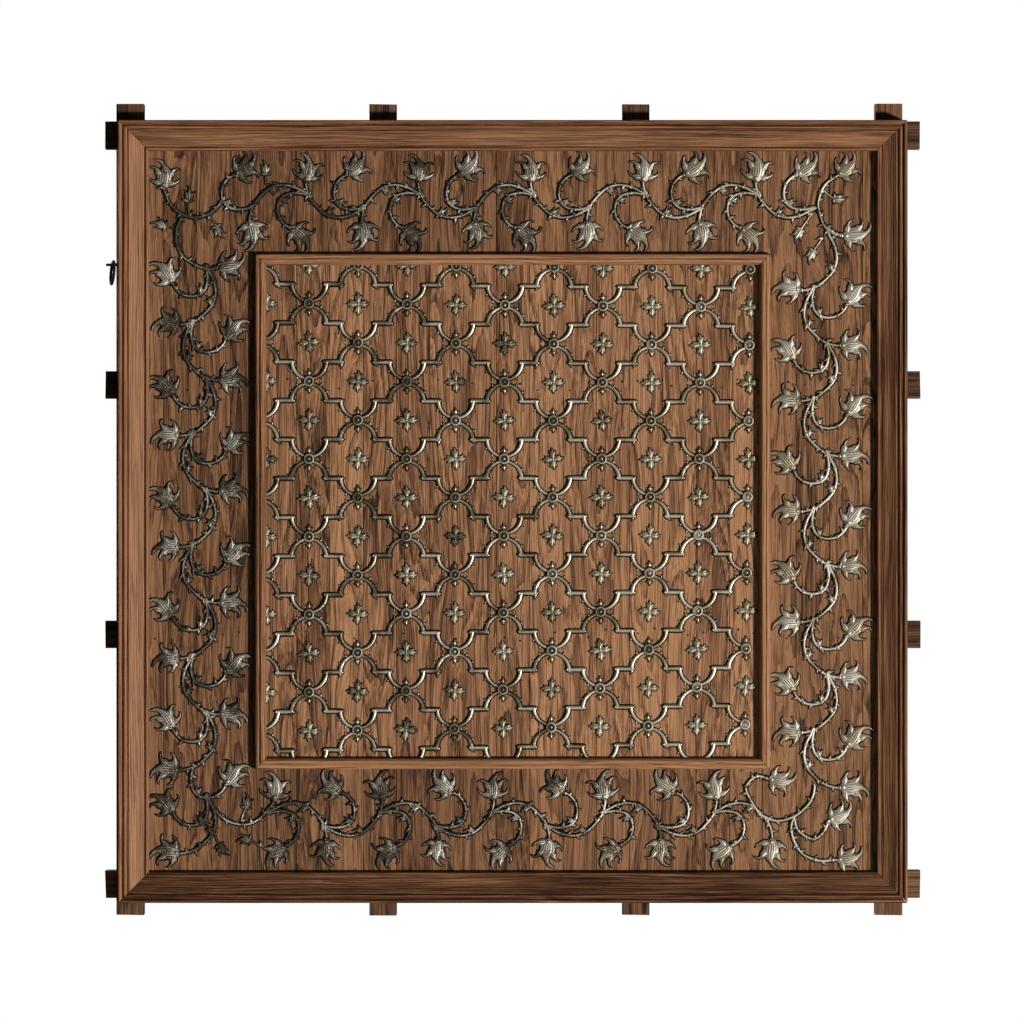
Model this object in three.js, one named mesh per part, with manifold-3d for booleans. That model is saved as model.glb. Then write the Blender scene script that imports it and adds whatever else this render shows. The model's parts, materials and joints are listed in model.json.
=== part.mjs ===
// A square ceiling or wall panel: vertical boards on a grid of battens, a mitred outer frame, a raised
// inner frame, and cast metal ornament nailed to the boards: a running vine around the border, and a
// lattice of ogee straps with rosettes in the middle. An iron ring hangs on the left side.
//
// Units are millimetres. Everything is drawn face on, with x to the right, y up and z out of the wall,
// and the finished group is turned so that z points up and the panel faces -Y. The origin is on the
// back of the top batten, where the panel is fixed.

import * as THREE from "three";
import { mergeVertices } from "three/addons/utils/BufferGeometryUtils.js";
import Module from "manifold-3d";

const wasm = await Module();
wasm.setup();

// Outer frame
const panelWidth = 1500;
const panelHeight = 1488;
const frameWidth = 58;
const frameRise = 34;
const frameRim = 20;
const mitreGap = 0.4;

// Boards
const boardPitch = 63.4;
const boardThickness = 18;
const boardGap = 0.5;
const boardEndPlay = 1;

// Battens, half-lapped into one grid
const battenWidth = 52;
const battenDepth = 40;
const sideOverhang = 28;
const topOverhang = 34;
const bottomOverhang = 27;
const leftBattenInset = 20;
const rightBattenInset = 33;
const topBattenInset = 26;
const bottomBattenInset = 33;
const battensEachWay = 4;

// Inner frame
const innerFrameSize = 980;
const innerFrameWidth = 21;
const innerFrameRise = 22;

// Lattice: how far its corner crossings lie inside the inner frame's opening, which is uneven
// because the straps were laid by hand
const strapWidth = 8.6;
const strapHeight = 5;
const bossRadius = 9.5;
const bossHeight = 7;
const crossingLap = 2;
const archHalfWidth = 33;
const columnPitch = 92.8;
const rowPitch = 73.6;
const latticeInset = {
  topLeft: [-12, -2],
  topRight: [17, 8],
  bottomLeft: [-11, 50],
  bottomRight: [27, 64],
};

// Rosettes
const rosetteReach = 21;
const rosetteWaist = 7;
const rosetteHeight = 4;
const rosetteSink = 1;

// Vine
const stemWidth = 6.4;
const stemHeight = 5;
const leafHeight = 7;

// Ring and the staple that holds it
const wireRadius = 2.3;
const ringRadius = 21.95;
const stapleReach = 22;
const stapleSpread = 26;
const stapleGrip = 18;
const stapleDrop = 249;
const ringOffset = 9;
const ringTwist = THREE.MathUtils.degToRad(12);
const ringLean = THREE.MathUtils.degToRad(5);

// Clearance between pieces that touch
const fitGap = 0.3;

const halfWidth = panelWidth / 2;
const halfHeight = panelHeight / 2;
const boardBack = battenDepth + fitGap;
const boardFace = boardBack + boardThickness;
const seat = boardFace + fitGap;
const openingX = halfWidth - frameWidth;
const openingY = halfHeight - frameWidth;
const innerOuter = innerFrameSize / 2;
const fieldHalf = innerOuter - innerFrameWidth;

const agedWood = new THREE.MeshStandardMaterial({ color: 0x6b4a33, roughness: 0.75 });
const frameWood = new THREE.MeshStandardMaterial({ color: 0x7a543a, roughness: 0.65 });
const darkWood = new THREE.MeshStandardMaterial({ color: 0x3a271b, roughness: 0.85 });
const agedBrass = new THREE.MeshStandardMaterial({ color: 0x8f8468, roughness: 0.4, metalness: 1 });
const agedSilver = new THREE.MeshStandardMaterial({ color: 0xa39c8e, roughness: 0.35, metalness: 1 });
const blackIron = new THREE.MeshStandardMaterial({ color: 0x1c1b1a, roughness: 0.6, metalness: 0.8 });

// Closed meshes to solids and back

function toSolid(geometry) {
  const bare = geometry.index ? geometry.toNonIndexed() : geometry.clone();
  bare.deleteAttribute("normal");
  bare.deleteAttribute("uv");
  const merged = mergeVertices(bare, 1e-4);
  const vertProperties = new Float32Array(merged.attributes.position.array);
  const triVerts = new Uint32Array(merged.index.array);
  return new wasm.Manifold(new wasm.Mesh({ numProp: 3, vertProperties, triVerts }));
}

function toGeometry(solid) {
  const mesh = solid.getMesh();
  const positions = new Float32Array(mesh.numVert * 3);
  for (let i = 0; i < mesh.numVert; i++)
    positions.set(mesh.vertProperties.subarray(i * mesh.numProp, i * mesh.numProp + 3), i * 3);
  const geometry = new THREE.BufferGeometry();
  geometry.setAttribute("position", new THREE.BufferAttribute(positions, 3));
  geometry.setIndex(new THREE.BufferAttribute(mesh.triVerts, 1));
  return geometry;
}

function join(solids) {
  return solids.reduce((all, next) => all.add(next));
}

function indexedGeometry(points, triangles) {
  const geometry = new THREE.BufferGeometry();
  geometry.setAttribute("position", new THREE.Float32BufferAttribute(points.flat(), 3));
  geometry.setIndex(triangles.flat());
  return geometry;
}

// A block from its lowest and highest corners
function block(low, high) {
  const size = high.map((value, i) => value - low[i]);
  const geometry = new THREE.BoxGeometry(...size);
  return geometry.translate(...high.map((value, i) => (value + low[i]) / 2));
}

function named(name, geometry, material) {
  const mesh = new THREE.Mesh(geometry, material);
  mesh.name = name;
  return mesh;
}

// A strap with a flat back and a ridge, along a line in the face plane, mitred at each corner. It
// swells to a boss at the points listed.
function strap(line, width, height, base, bosses = []) {
  const points = [];
  line.forEach((at, i) => {
    const halfWide = bosses.includes(i) ? bossRadius : width / 2;
    const peak = bosses.includes(i) ? bossHeight : height;
    const arriving = at.clone().sub(line[Math.max(i - 1, 0)]).normalize();
    const leaving = line[Math.min(i + 1, line.length - 1)].clone().sub(at).normalize();
    const along = arriving.clone().add(leaving).normalize();
    const turn = Math.max(along.dot(i ? arriving : leaving), 0.5);
    const across = new THREE.Vector2(-along.y, along.x).multiplyScalar(halfWide / turn);
    points.push([at.x + across.x, at.y + across.y, base]);
    points.push([at.x - across.x, at.y - across.y, base]);
    points.push([at.x, at.y, base + peak]);
  });
  const triangles = [[0, 1, 2]];
  for (let i = 0; i < line.length - 1; i++)
    for (let side = 0; side < 3; side++) {
      const a = i * 3 + side;
      const b = i * 3 + ((side + 1) % 3);
      triangles.push([a, a + 3, b], [b, a + 3, b + 3]);
    }
  const last = (line.length - 1) * 3;
  triangles.push([last, last + 2, last + 1]);
  return toSolid(indexedGeometry(points, triangles));
}

// A faceted low cone on any outline that can be seen whole from its peak
function peaked(outline, peak, base, height) {
  const points = outline.map(([x, y]) => [x, y, base]);
  const triangles = THREE.ShapeUtils.triangulateShape(outline.map(([x, y]) => new THREE.Vector2(x, y)), [])
    .map(([a, b, c]) => [c, b, a]);
  outline.forEach((_, i) => triangles.push([i, (i + 1) % outline.length, outline.length]));
  points.push([...peak, base + height]);
  return toSolid(indexedGeometry(points, triangles));
}

// Battens

function evenStations(first, last) {
  const step = (last - first) / (battensEachWay - 1);
  return Array.from({ length: battensEachWay }, (_, i) => first + i * step);
}

const uprightStations = evenStations(-halfWidth + leftBattenInset, halfWidth - rightBattenInset);
const crossStations = evenStations(halfHeight - topBattenInset, -halfHeight + bottomBattenInset);

// A batten lying along x from start to end, with a half-depth notch at each crossing
function battenGeometry(start, end, crossings, notchFromBack) {
  const notchHalf = battenWidth / 2 + fitGap;
  const lap = battenDepth / 2 + (notchFromBack ? fitGap / 2 : -fitGap / 2);
  const edge = notchFromBack ? 0 : battenDepth;
  const shape = new THREE.Shape();
  shape.moveTo(start, battenDepth - edge);
  shape.lineTo(start, edge);
  [...crossings].sort((a, b) => a - b).forEach((x) => {
    shape.lineTo(x - notchHalf, edge);
    shape.lineTo(x - notchHalf, lap);
    shape.lineTo(x + notchHalf, lap);
    shape.lineTo(x + notchHalf, edge);
  });
  shape.lineTo(end, edge);
  shape.lineTo(end, battenDepth - edge);
  const geometry = new THREE.ExtrudeGeometry(shape, { depth: battenWidth, bevelEnabled: false });
  return geometry.translate(0, 0, -battenWidth / 2).rotateX(Math.PI / 2);
}

function battens() {
  const crossEnd = halfWidth + sideOverhang;
  const group = new THREE.Group();
  crossStations.forEach((y, i) => {
    const batten = named(`cross_batten_${i + 1}`, battenGeometry(-crossEnd, crossEnd, uprightStations, true), darkWood);
    batten.position.y = y;
    group.add(batten);
  });
  uprightStations.forEach((x, i) => {
    const bottom = -halfHeight - bottomOverhang;
    const geometry = battenGeometry(bottom, halfHeight + topOverhang, crossStations, false);
    const batten = named(`upright_batten_${i + 1}`, geometry.rotateZ(Math.PI / 2), darkWood);
    batten.position.x = x;
    group.add(batten);
  });
  return group;
}

// Frames: a section drawn as distance in from the outer edge and height from the wall

function outerSection() {
  const top = seat + frameRise;
  const bead = frameWidth - 8;
  return [
    [0, boardBack],
    [frameRim, boardBack],
    [frameRim, seat],
    [frameWidth, seat],
    [frameWidth, top - 19],
    [frameWidth - 2.5, top - 16],
    [bead + 2, top - 16.5],
    [bead, top - 19.5],
    [bead - 9, top - 16],
    [bead - 19, top - 11],
    [20, top - 4.5],
    [18.5, top - 7],
    [16.5, top - 2.5],
    [13, top - 1],
    [10.5, top - 3],
    [9, top - 6],
    [7.5, top - 1],
    [6, top],
    [1.5, top],
    [0, top - 1.5],
  ];
}

function innerSection() {
  const top = seat + innerFrameRise;
  return [
    [0, seat],
    [innerFrameWidth, seat],
    [innerFrameWidth, top - 12],
    [innerFrameWidth - 2, top - 6],
    [innerFrameWidth - 5, top - 1.5],
    [12.5, top],
    [9.5, top - 2],
    [8, top - 6],
    [7, top - 7.5],
    [6, top - 5],
    [3.5, top - 3.5],
    [1, top - 5],
    [0, top - 8],
  ];
}

// One side of a rectangular frame, its ends cut to 45 degrees and its outer edge up at reach
function mitredMember(section, length, reach) {
  const outline = section.map(([inward, height]) => new THREE.Vector2(height, -inward));
  const geometry = new THREE.ExtrudeGeometry(new THREE.Shape(outline), { depth: 1, bevelEnabled: false });
  const place = geometry.attributes.position;
  for (let i = 0; i < place.count; i++) {
    const inward = -place.getY(i);
    const end = length / 2 - inward - mitreGap / 2;
    place.setXYZ(i, place.getZ(i) > 0.5 ? -end : end, reach - inward, place.getX(i));
  }
  return geometry;
}

function frameSides(prefix, section, width, height) {
  const sides = {
    top: [width, height / 2, 0],
    left: [height, width / 2, Math.PI / 2],
    bottom: [width, height / 2, Math.PI],
    right: [height, width / 2, -Math.PI / 2],
  };
  return Object.entries(sides).map(([side, [length, reach, turn]]) =>
    named(`${prefix}_${side}`, mitredMember(section, length, reach).rotateZ(turn), frameWood),
  );
}

// Lattice

const latticeColumns = Math.round((2 * fieldHalf) / columnPitch);
const latticeRows = Math.round((2 * fieldHalf) / rowPitch - 0.75);

function latticeCorner([insetX, insetY], signX, signY) {
  return new THREE.Vector2(signX * (fieldHalf - insetX), signY * (fieldHalf - insetY));
}

// The crossing at a column from the left and a row from the top, even between them in fractions
function latticePoint(column, row) {
  const across = column / latticeColumns;
  const down = row / latticeRows;
  const top = latticeCorner(latticeInset.topLeft, -1, 1).lerp(latticeCorner(latticeInset.topRight, 1, 1), across);
  const bottom = latticeCorner(latticeInset.bottomLeft, -1, -1).lerp(
    latticeCorner(latticeInset.bottomRight, 1, -1),
    across,
  );
  return top.lerp(bottom, down);
}

// One wavy line between two rows. It crests at the upper crossings, where its bosses are, and hangs
// down to the bosses of the next line. The last one starts a column late, as its first end is hidden.
function latticeWave(row) {
  const line = [];
  const bosses = [];
  const quarter = Math.SQRT1_2;
  for (let column = row < latticeRows ? 0 : 1; column < latticeColumns; column++) {
    const crestFirst = (column + row) % 2 === 0;
    const crest = latticePoint(crestFirst ? column : column + 1, row);
    const trough = latticePoint(crestFirst ? column + 1 : column, row + 1);
    trough.y += bossRadius - crossingLap;
    const [from, to] = crestFirst ? [crest, trough] : [trough, crest];
    const middle = (from.y + to.y) / 2;
    const rise = (from.y - to.y) / 2;
    if (crestFirst) bosses.push(line.length);
    line.push(
      from,
      new THREE.Vector2(from.x + archHalfWidth * quarter, middle + rise * quarter),
      new THREE.Vector2(from.x + archHalfWidth, middle),
      new THREE.Vector2(to.x - archHalfWidth, middle),
      new THREE.Vector2(to.x - archHalfWidth * quarter, middle - rise * quarter),
    );
    if (column === latticeColumns - 1) {
      if (!crestFirst) bosses.push(line.length);
      line.push(to);
    }
  }
  return strap(line, strapWidth, strapHeight, seat, bosses);
}

// The inner frame's opening, as a solid that trims what the frame cuts short
function openingBlock() {
  const edge = fieldHalf - fitGap;
  return toSolid(block([-edge, -edge, boardBack], [edge, edge, boardFace + frameRise]));
}

function lattice() {
  const parts = [];
  for (let row = 0; row <= latticeRows; row++) parts.push(latticeWave(row));
  return named("strap_lattice", toGeometry(join(parts).intersect(openingBlock())), agedBrass);
}

// Boards with the rosettes that are nailed to them

// A rosette's place: those of the outer columns are cut by the frame's edge
function rosettePoint(column, row) {
  const at = latticePoint(column, row);
  at.x = Math.max(at.x, -fieldHalf);
  return at;
}

function rosette(at) {
  const outline = Array.from({ length: 8 }, (_, i) => {
    const radius = i % 2 ? rosetteWaist : rosetteReach;
    const angle = (i * Math.PI) / 4;
    return [at.x + radius * Math.cos(angle), at.y + radius * Math.sin(angle)];
  });
  return peaked(outline, [at.x, at.y], boardFace - rosetteSink, rosetteHeight + rosetteSink);
}

function rosettePlaces() {
  const places = [];
  for (let row = 0; row <= latticeRows; row++)
    for (let column = 0; column <= latticeColumns; column++)
      if ((column + row) % 2 === 1) places.push(rosettePoint(column, row));
  return places;
}

function boards() {
  const spanX = halfWidth - frameRim - boardEndPlay;
  const spanY = halfHeight - frameRim - boardEndPlay;
  const count = Math.max(1, Math.round((2 * spanX) / boardPitch));
  const pitch = (2 * spanX) / count;
  const opening = openingBlock();
  const places = rosettePlaces();
  return Array.from({ length: count }, (_, i) => {
    const left = -spanX + i * pitch + boardGap / 2;
    const right = left + pitch - boardGap;
    let board = toSolid(block([left, -spanY, boardBack], [right, spanY, boardFace]));
    const strip = toSolid(block([left, -spanY, boardBack], [right, spanY, boardFace + rosetteHeight + 1]));
    const onBoard = strip.intersect(opening);
    places
      .filter((at) => at.x + rosetteReach > left + 1 && at.x - rosetteReach < right - 1)
      .forEach((at) => {
        board = board.add(rosette(at).intersect(onBoard));
      });
    return named(`board_${String(i + 1).padStart(2, "0")}`, toGeometry(board), agedWood);
  });
}

// Vine

// A five-lobed leaf, as shares of its length along and across, with its tip bent to one side
const leafOutline = [
  [-0.06, 0],
  [0.25, -0.58],
  [0.42, -0.2],
  [0.77, -0.45],
  [0.76, -0.16],
  [1.15, 0.12],
  [0.76, 0.2],
  [0.77, 0.45],
  [0.42, 0.2],
  [0.25, 0.6],
];
const leafPeak = [0.42, 0];

// The vine keeps its proportions: its shapes are shares of the width of the border that it grows in
const sideBorder = openingX - innerOuter;
const levelBorder = openingY - innerOuter;
const leafShare = 0.251;
const pitchShare = 0.533;
const vineShift = [-0.027, 0.013];

// Both stems of one bend: across, towards the bulge, and along its growth
const mainStem = [[0.06, -0.04], [0.151, 0.136], [0.131, 0.327], [-0.015, 0.492], [-0.171, 0.533]];
const curlStem = [[0.065, -0.03], [0.04, 0.181], [-0.121, 0.271], [-0.266, 0.111]];
const mainLeafAim = [-0.97, -0.25];
const curlLeafAim = [-0.6, -0.8];

// The stems that end each run at a corner, from the crossing of the vine's own centre lines: across
// as shares of the side border's width, and up as shares of the top border's. Those that grow out of
// a run's last bend start at their own root on it.
const topRightStem = [[0.178, 0.27], [0.04, 0.158], [-0.02, 0], [0.015, -0.194], [0.168, -0.342]];
const topLeftStem = [[0.089, -0.143], [-0.168, -0.143], [-0.307, 0.01], [-0.327, 0.148]];
const leftHeadStem = [
  [-0.153, -0.168],
  [-0.208, -0.306],
  [-0.188, -0.459],
  [-0.089, -0.592],
  [0.059, -0.653],
  [0.178, -0.648],
];
const bottomLeftStem = [
  [0.178, 0.056],
  [0.277, -0.026],
  [0.411, -0.051],
  [0.559, 0.01],
  [0.678, 0.128],
  [0.708, 0.184],
];
const bottomRightStems = {
  sweep: [[-0.391, -0.015], [-0.198, 0.061], [-0.069, 0.235], [-0.064, 0.337]],
  loop: [[-0.658, 0.184], [-0.703, 0.316], [-0.599, 0.418], [-0.47, 0.398]],
  main: [[-0.238, 0.041], [-0.267, -0.133], [-0.163, -0.342], [-0.01, -0.403], [0.178, -0.388]],
  curl: [[-0.248, 0], [-0.208, -0.112], [-0.069, -0.194], [0.054, -0.082], [0.099, 0.031]],
};

const topLeftRoot = [0, 0.204];
const sweepRoot = [0.061, 0.459];
const loopRoot = [0.031, 0.449];
const footRoot = [-0.06, 0.226];

// The bend at the foot of the left side, over the crossing of the centre lines
const footHeight = 0.22;

// Where each run's first bend starts and where its last one starts, as shares of the border it leaves
// and of the one it meets
const topEnds = [0.074, 0.48];
const leftEnds = [0.643, 0.49];
const bottomEnds = [0.663, 0.99];
const rightEnds = [0.311, 0.857];

const vineLeft = -(openingX + innerOuter) / 2 + vineShift[0] * sideBorder;
const vineRight = (openingX + innerOuter) / 2 + vineShift[0] * sideBorder;
const vineTop = (openingY + innerOuter) / 2 + vineShift[1] * levelBorder;
const vineBottom = -(openingY + innerOuter) / 2 + vineShift[1] * levelBorder;

function leaf(at, aim, border) {
  const leafLength = leafShare * border;
  const ahead = aim.clone().normalize();
  const side = new THREE.Vector2(ahead.y, -ahead.x);
  const place = ([along, across]) => {
    const p = at.clone().addScaledVector(ahead, along * leafLength).addScaledVector(side, across * leafLength);
    return [p.x, p.y];
  };
  return peaked(leafOutline.map(place).reverse(), place(leafPeak), seat, leafHeight);
}

function stem(points) {
  return strap(points, stemWidth, stemHeight, seat);
}

// A point by a corner, from shares of the side border and the top border
function atCorner(corner, x, y) {
  return new THREE.Vector2(corner.x + x * sideBorder, corner.y + y * levelBorder);
}

// A stem through a corner's own points, from its root if it has one, with a leaf at its far end if it
// has an aim
function cornerStem(corner, points, aim, root) {
  const line = points.map(([x, y]) => atCorner(corner, x, y));
  if (root) line.unshift(root);
  const parts = [stem(line)];
  if (aim) parts.push(leaf(line.at(-1), new THREE.Vector2(...aim), Math.min(sideBorder, levelBorder)));
  return parts;
}

// A point of a bend, from shares across and along
function onBend({ start, growth, bulge, wide, long }, [across, along]) {
  return start.clone().addScaledVector(bulge, across * wide).addScaledVector(growth, along * long);
}

// One bend: a long stem and a curl inside it, each with a leaf. Its stems start at the root, if it has
// one that lies on another stem.
function bend(from, { main = true, curl = true, root = null } = {}) {
  const aimOf = ([across, along]) =>
    new THREE.Vector2().addScaledVector(from.bulge, across).addScaledVector(from.growth, along);
  const stemAndLeaf = (points, aim) => {
    const line = points.map((point) => onBend(from, point));
    if (root) line[0] = root;
    return [stem(line), leaf(line.at(-1), aimOf(aim), Math.min(from.wide, from.long))];
  };
  return [
    ...(main ? stemAndLeaf(mainStem, mainLeafAim) : []),
    ...(curl ? stemAndLeaf(curlStem, curlLeafAim) : []),
  ];
}

// The bends of one run, evenly spaced from lead after its start to tail before its end
function run(start, end, firstBulge, border, lead, tail, odd, options) {
  const length = start.distanceTo(end) - lead - tail;
  const usualPitch = pitchShare * border;
  const pairs = Math.max(1, Math.round((length / usualPitch - (odd ? 0 : 1)) / 2));
  const bends = 2 * pairs + (odd ? 1 : 2);
  const pitch = length / (bends - 1);
  const growth = end.clone().sub(start).normalize();
  const fromOf = (i) => ({
    start: start.clone().addScaledVector(growth, lead + i * pitch),
    growth,
    bulge: firstBulge.clone().multiplyScalar(i % 2 ? -1 : 1),
    wide: border,
    long: (border * pitch) / usualPitch,
  });
  const parts = [];
  for (let i = 0; i < bends; i++) parts.push(...bend(fromOf(i), options(i, bends)));
  return { parts, last: fromOf(bends - 1) };
}

const right = new THREE.Vector2(1, 0);
const left = new THREE.Vector2(-1, 0);
const up = new THREE.Vector2(0, 1);
const down = new THREE.Vector2(0, -1);
const topLeft = new THREE.Vector2(vineLeft, vineTop);
const topRight = new THREE.Vector2(vineRight, vineTop);
const bottomLeft = new THREE.Vector2(vineLeft, vineBottom);
const bottomRight = new THREE.Vector2(vineRight, vineBottom);

function vineOnTop() {
  const [lead, tail] = topEnds.map((share) => share * sideBorder);
  const options = (i, bends) => ({ main: i < bends - 1 });
  const { parts, last } = run(topRight, topLeft, down, levelBorder, lead, tail, true, options);
  return [...parts, ...cornerStem(topLeft, topLeftStem, [0.2, 0.98], onBend(last, topLeftRoot))];
}

function vineOnLeft() {
  const [lead, tail] = leftEnds.map((share) => share * levelBorder);
  const options = (i, bends) => ({ main: i < bends - 1 });
  const { parts, last } = run(topLeft, bottomLeft, right, sideBorder, lead, tail, false, options);
  const start = bottomLeft.clone().addScaledVector(up, footHeight * levelBorder);
  const foot = { start, growth: down, bulge: right, wide: sideBorder, long: levelBorder };
  const head = cornerStem(topLeft, leftHeadStem, [0.95, 0.3]);
  return [...head, ...parts, ...bend(foot, { root: onBend(last, footRoot) })];
}

function vineOnBottom() {
  const [lead, tail] = bottomEnds.map((share) => share * sideBorder);
  const { parts, last } = run(bottomLeft, bottomRight, up, levelBorder, lead, tail, true, () => ({}));
  return [
    ...cornerStem(bottomLeft, bottomLeftStem, [0.15, 0.98]),
    ...parts,
    ...cornerStem(bottomRight, bottomRightStems.sweep, null, onBend(last, sweepRoot)),
    ...cornerStem(bottomRight, bottomRightStems.loop, [0.98, -0.1], onBend(last, loopRoot)),
    ...cornerStem(bottomRight, bottomRightStems.main, [0.95, 0.3]),
    ...cornerStem(bottomRight, bottomRightStems.curl, [0.9, 0.42]),
  ];
}

function vineOnRight() {
  const [lead, tail] = rightEnds.map((share) => share * levelBorder);
  const [rootX, rootY] = topRightStem.at(-2);
  const root = atCorner(topRight, rootX, rootY);
  const options = (i) => (i > 0 ? {} : { curl: false, root });
  const { parts } = run(topRight, bottomRight, right, sideBorder, lead, tail, false, options);
  const towardsTop = cornerStem(topRight, [...topRightStem].reverse(), [0.78, 0.62]);
  const [x, y] = topRightStem.at(-1);
  const end = atCorner(topRight, x, y);
  const side = leaf(end, new THREE.Vector2(1, 0.05), Math.min(sideBorder, levelBorder));
  return [...parts, ...towardsTop, side];
}

function vines() {
  const runs = { top: vineOnTop(), left: vineOnLeft(), bottom: vineOnBottom(), right: vineOnRight() };
  return Object.entries(runs).map(([side, parts]) =>
    named(`vine_${side}`, toGeometry(join(parts)), agedSilver),
  );
}

// Ring and staple

const stapleX = -halfWidth;
const stapleY = halfHeight - topBattenInset - stapleDrop;
const stapleZ = boardFace + 12;
const wireSides = 6;

// The staple's loop lies level, so the ring goes round the leg that is nearer the viewer
function staplePath() {
  const bendRadius = stapleSpread / 2;
  const bendX = stapleX - stapleReach + bendRadius;
  const buried = stapleX + stapleGrip;
  const path = new THREE.CurvePath();
  const near = stapleZ + bendRadius;
  const far = stapleZ - bendRadius;
  const points = [new THREE.Vector3(buried, stapleY, near), new THREE.Vector3(stapleX, stapleY, near)];
  for (let i = 0; i <= 6; i++) {
    const angle = Math.PI / 2 + (i / 6) * Math.PI;
    points.push(
      new THREE.Vector3(bendX + bendRadius * Math.cos(angle), stapleY, stapleZ + bendRadius * Math.sin(angle)),
    );
  }
  points.push(new THREE.Vector3(stapleX, stapleY, far), new THREE.Vector3(buried, stapleY, far));
  for (let i = 1; i < points.length; i++) path.add(new THREE.LineCurve3(points[i - 1], points[i]));
  return path;
}

function wireSection(radius) {
  return new THREE.Shape(
    Array.from({ length: wireSides }, (_, i) => {
      const angle = (i / wireSides) * 2 * Math.PI;
      return new THREE.Vector2(radius * Math.cos(angle), radius * Math.sin(angle));
    }),
  );
}

function staple() {
  const geometry = new THREE.ExtrudeGeometry(wireSection(wireRadius), {
    steps: 18,
    bevelEnabled: false,
    extrudePath: staplePath(),
  });
  return named("ring_staple", geometry, blackIron);
}

// The two holes that the staple's legs go into
function stapleHoles() {
  const depth = stapleGrip + 1;
  return [1, -1].map((side) => {
    const hole = new THREE.CylinderGeometry(wireRadius + fitGap, wireRadius + fitGap, 2 * depth, wireSides);
    return toSolid(hole.rotateZ(Math.PI / 2).translate(stapleX, stapleY, stapleZ + (side * stapleSpread) / 2));
  });
}

// The ring hangs from the near leg, turned and leaning a little
function ring() {
  const hang = ringRadius - wireRadius - wireRadius - fitGap;
  const geometry = new THREE.TorusGeometry(ringRadius, wireRadius, wireSides, 20)
    .rotateY(Math.PI / 2)
    .translate(0, -hang, 0)
    .rotateZ(-ringLean)
    .rotateY(ringTwist);
  const mesh = named("pull_ring", geometry, blackIron);
  mesh.position.set(stapleX - ringOffset, stapleY, stapleZ + stapleSpread / 2);
  return mesh;
}

// Assembly

const outerFrame = frameSides("frame", outerSection(), panelWidth, panelHeight);
const leftSide = outerFrame.find((side) => side.name === "frame_left");
leftSide.geometry = toGeometry(stapleHoles().reduce((wood, hole) => wood.subtract(hole), toSolid(leftSide.geometry)));

const panel = new THREE.Group();
panel.add(battens());
panel.add(...boards());
panel.add(...outerFrame);
panel.add(...frameSides("inner_frame", innerSection(), innerFrameSize, innerFrameSize));
panel.add(lattice());
panel.add(...vines());
panel.add(staple());
panel.add(ring());
panel.rotation.x = Math.PI / 2;
panel.position.z = -crossStations[0];

const model = new THREE.Group();
model.add(panel);
model.updateMatrixWorld(true);

export default model;
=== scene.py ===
"""An old boarded panel in a moulded frame, with a cast vine border, a strap lattice and a pull ring.

Shapes are drawn face on, in millimetres: x to the right and y up from the panel's centre, and z out of
the wall. They are turned and scaled into the room, in metres, once they are plain meshes.
"""

import json
import logging
import math
import random
from dataclasses import dataclass, field
from enum import Enum

import bmesh
import bpy
import numpy as np
from mathutils import Matrix, Vector


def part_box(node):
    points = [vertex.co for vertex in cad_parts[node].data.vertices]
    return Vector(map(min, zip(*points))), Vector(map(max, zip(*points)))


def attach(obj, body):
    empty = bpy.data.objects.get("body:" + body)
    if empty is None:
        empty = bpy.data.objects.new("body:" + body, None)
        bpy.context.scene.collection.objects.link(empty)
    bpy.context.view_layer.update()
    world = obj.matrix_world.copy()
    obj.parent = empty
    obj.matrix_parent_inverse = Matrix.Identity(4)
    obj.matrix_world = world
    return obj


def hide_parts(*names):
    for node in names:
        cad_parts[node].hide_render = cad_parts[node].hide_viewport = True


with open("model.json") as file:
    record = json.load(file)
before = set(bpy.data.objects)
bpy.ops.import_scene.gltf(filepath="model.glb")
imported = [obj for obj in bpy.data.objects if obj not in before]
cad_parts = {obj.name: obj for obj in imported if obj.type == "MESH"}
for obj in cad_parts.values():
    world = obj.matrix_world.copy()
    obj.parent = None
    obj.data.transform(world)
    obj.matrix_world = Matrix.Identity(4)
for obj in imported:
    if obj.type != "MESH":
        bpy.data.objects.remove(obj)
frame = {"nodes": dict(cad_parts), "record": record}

log = logging.getLogger("panel")

MM = 0.001
SEAT_GAP = 0.3
Point = tuple[float, float]
Corner = tuple[float, float, float]
Colour = tuple[float, float, float]
Socket = bpy.types.NodeSocket


class Side(Enum):
    """A side of the panel, with the turn that brings a member drawn along the top to it."""

    TOP = 0.0
    LEFT = math.pi / 2
    BOTTOM = math.pi
    RIGHT = -math.pi / 2

    @property
    def word(self) -> str:
        """The side's name as the nodes spell it."""
        return self.name.lower()


class Shape(Enum):
    """The small castings that are set on seats, in the order of the casting tree's inputs."""

    LEAF = 0
    LEAF_BACK = 1
    BUD = 2
    SPROUT = 3
    COLLAR = 4
    BOSS = 5
    FLEUR = 6
    KNOB = 7
    THORN = 8
    ROSETTE = 9
    NAIL = 10


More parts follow.
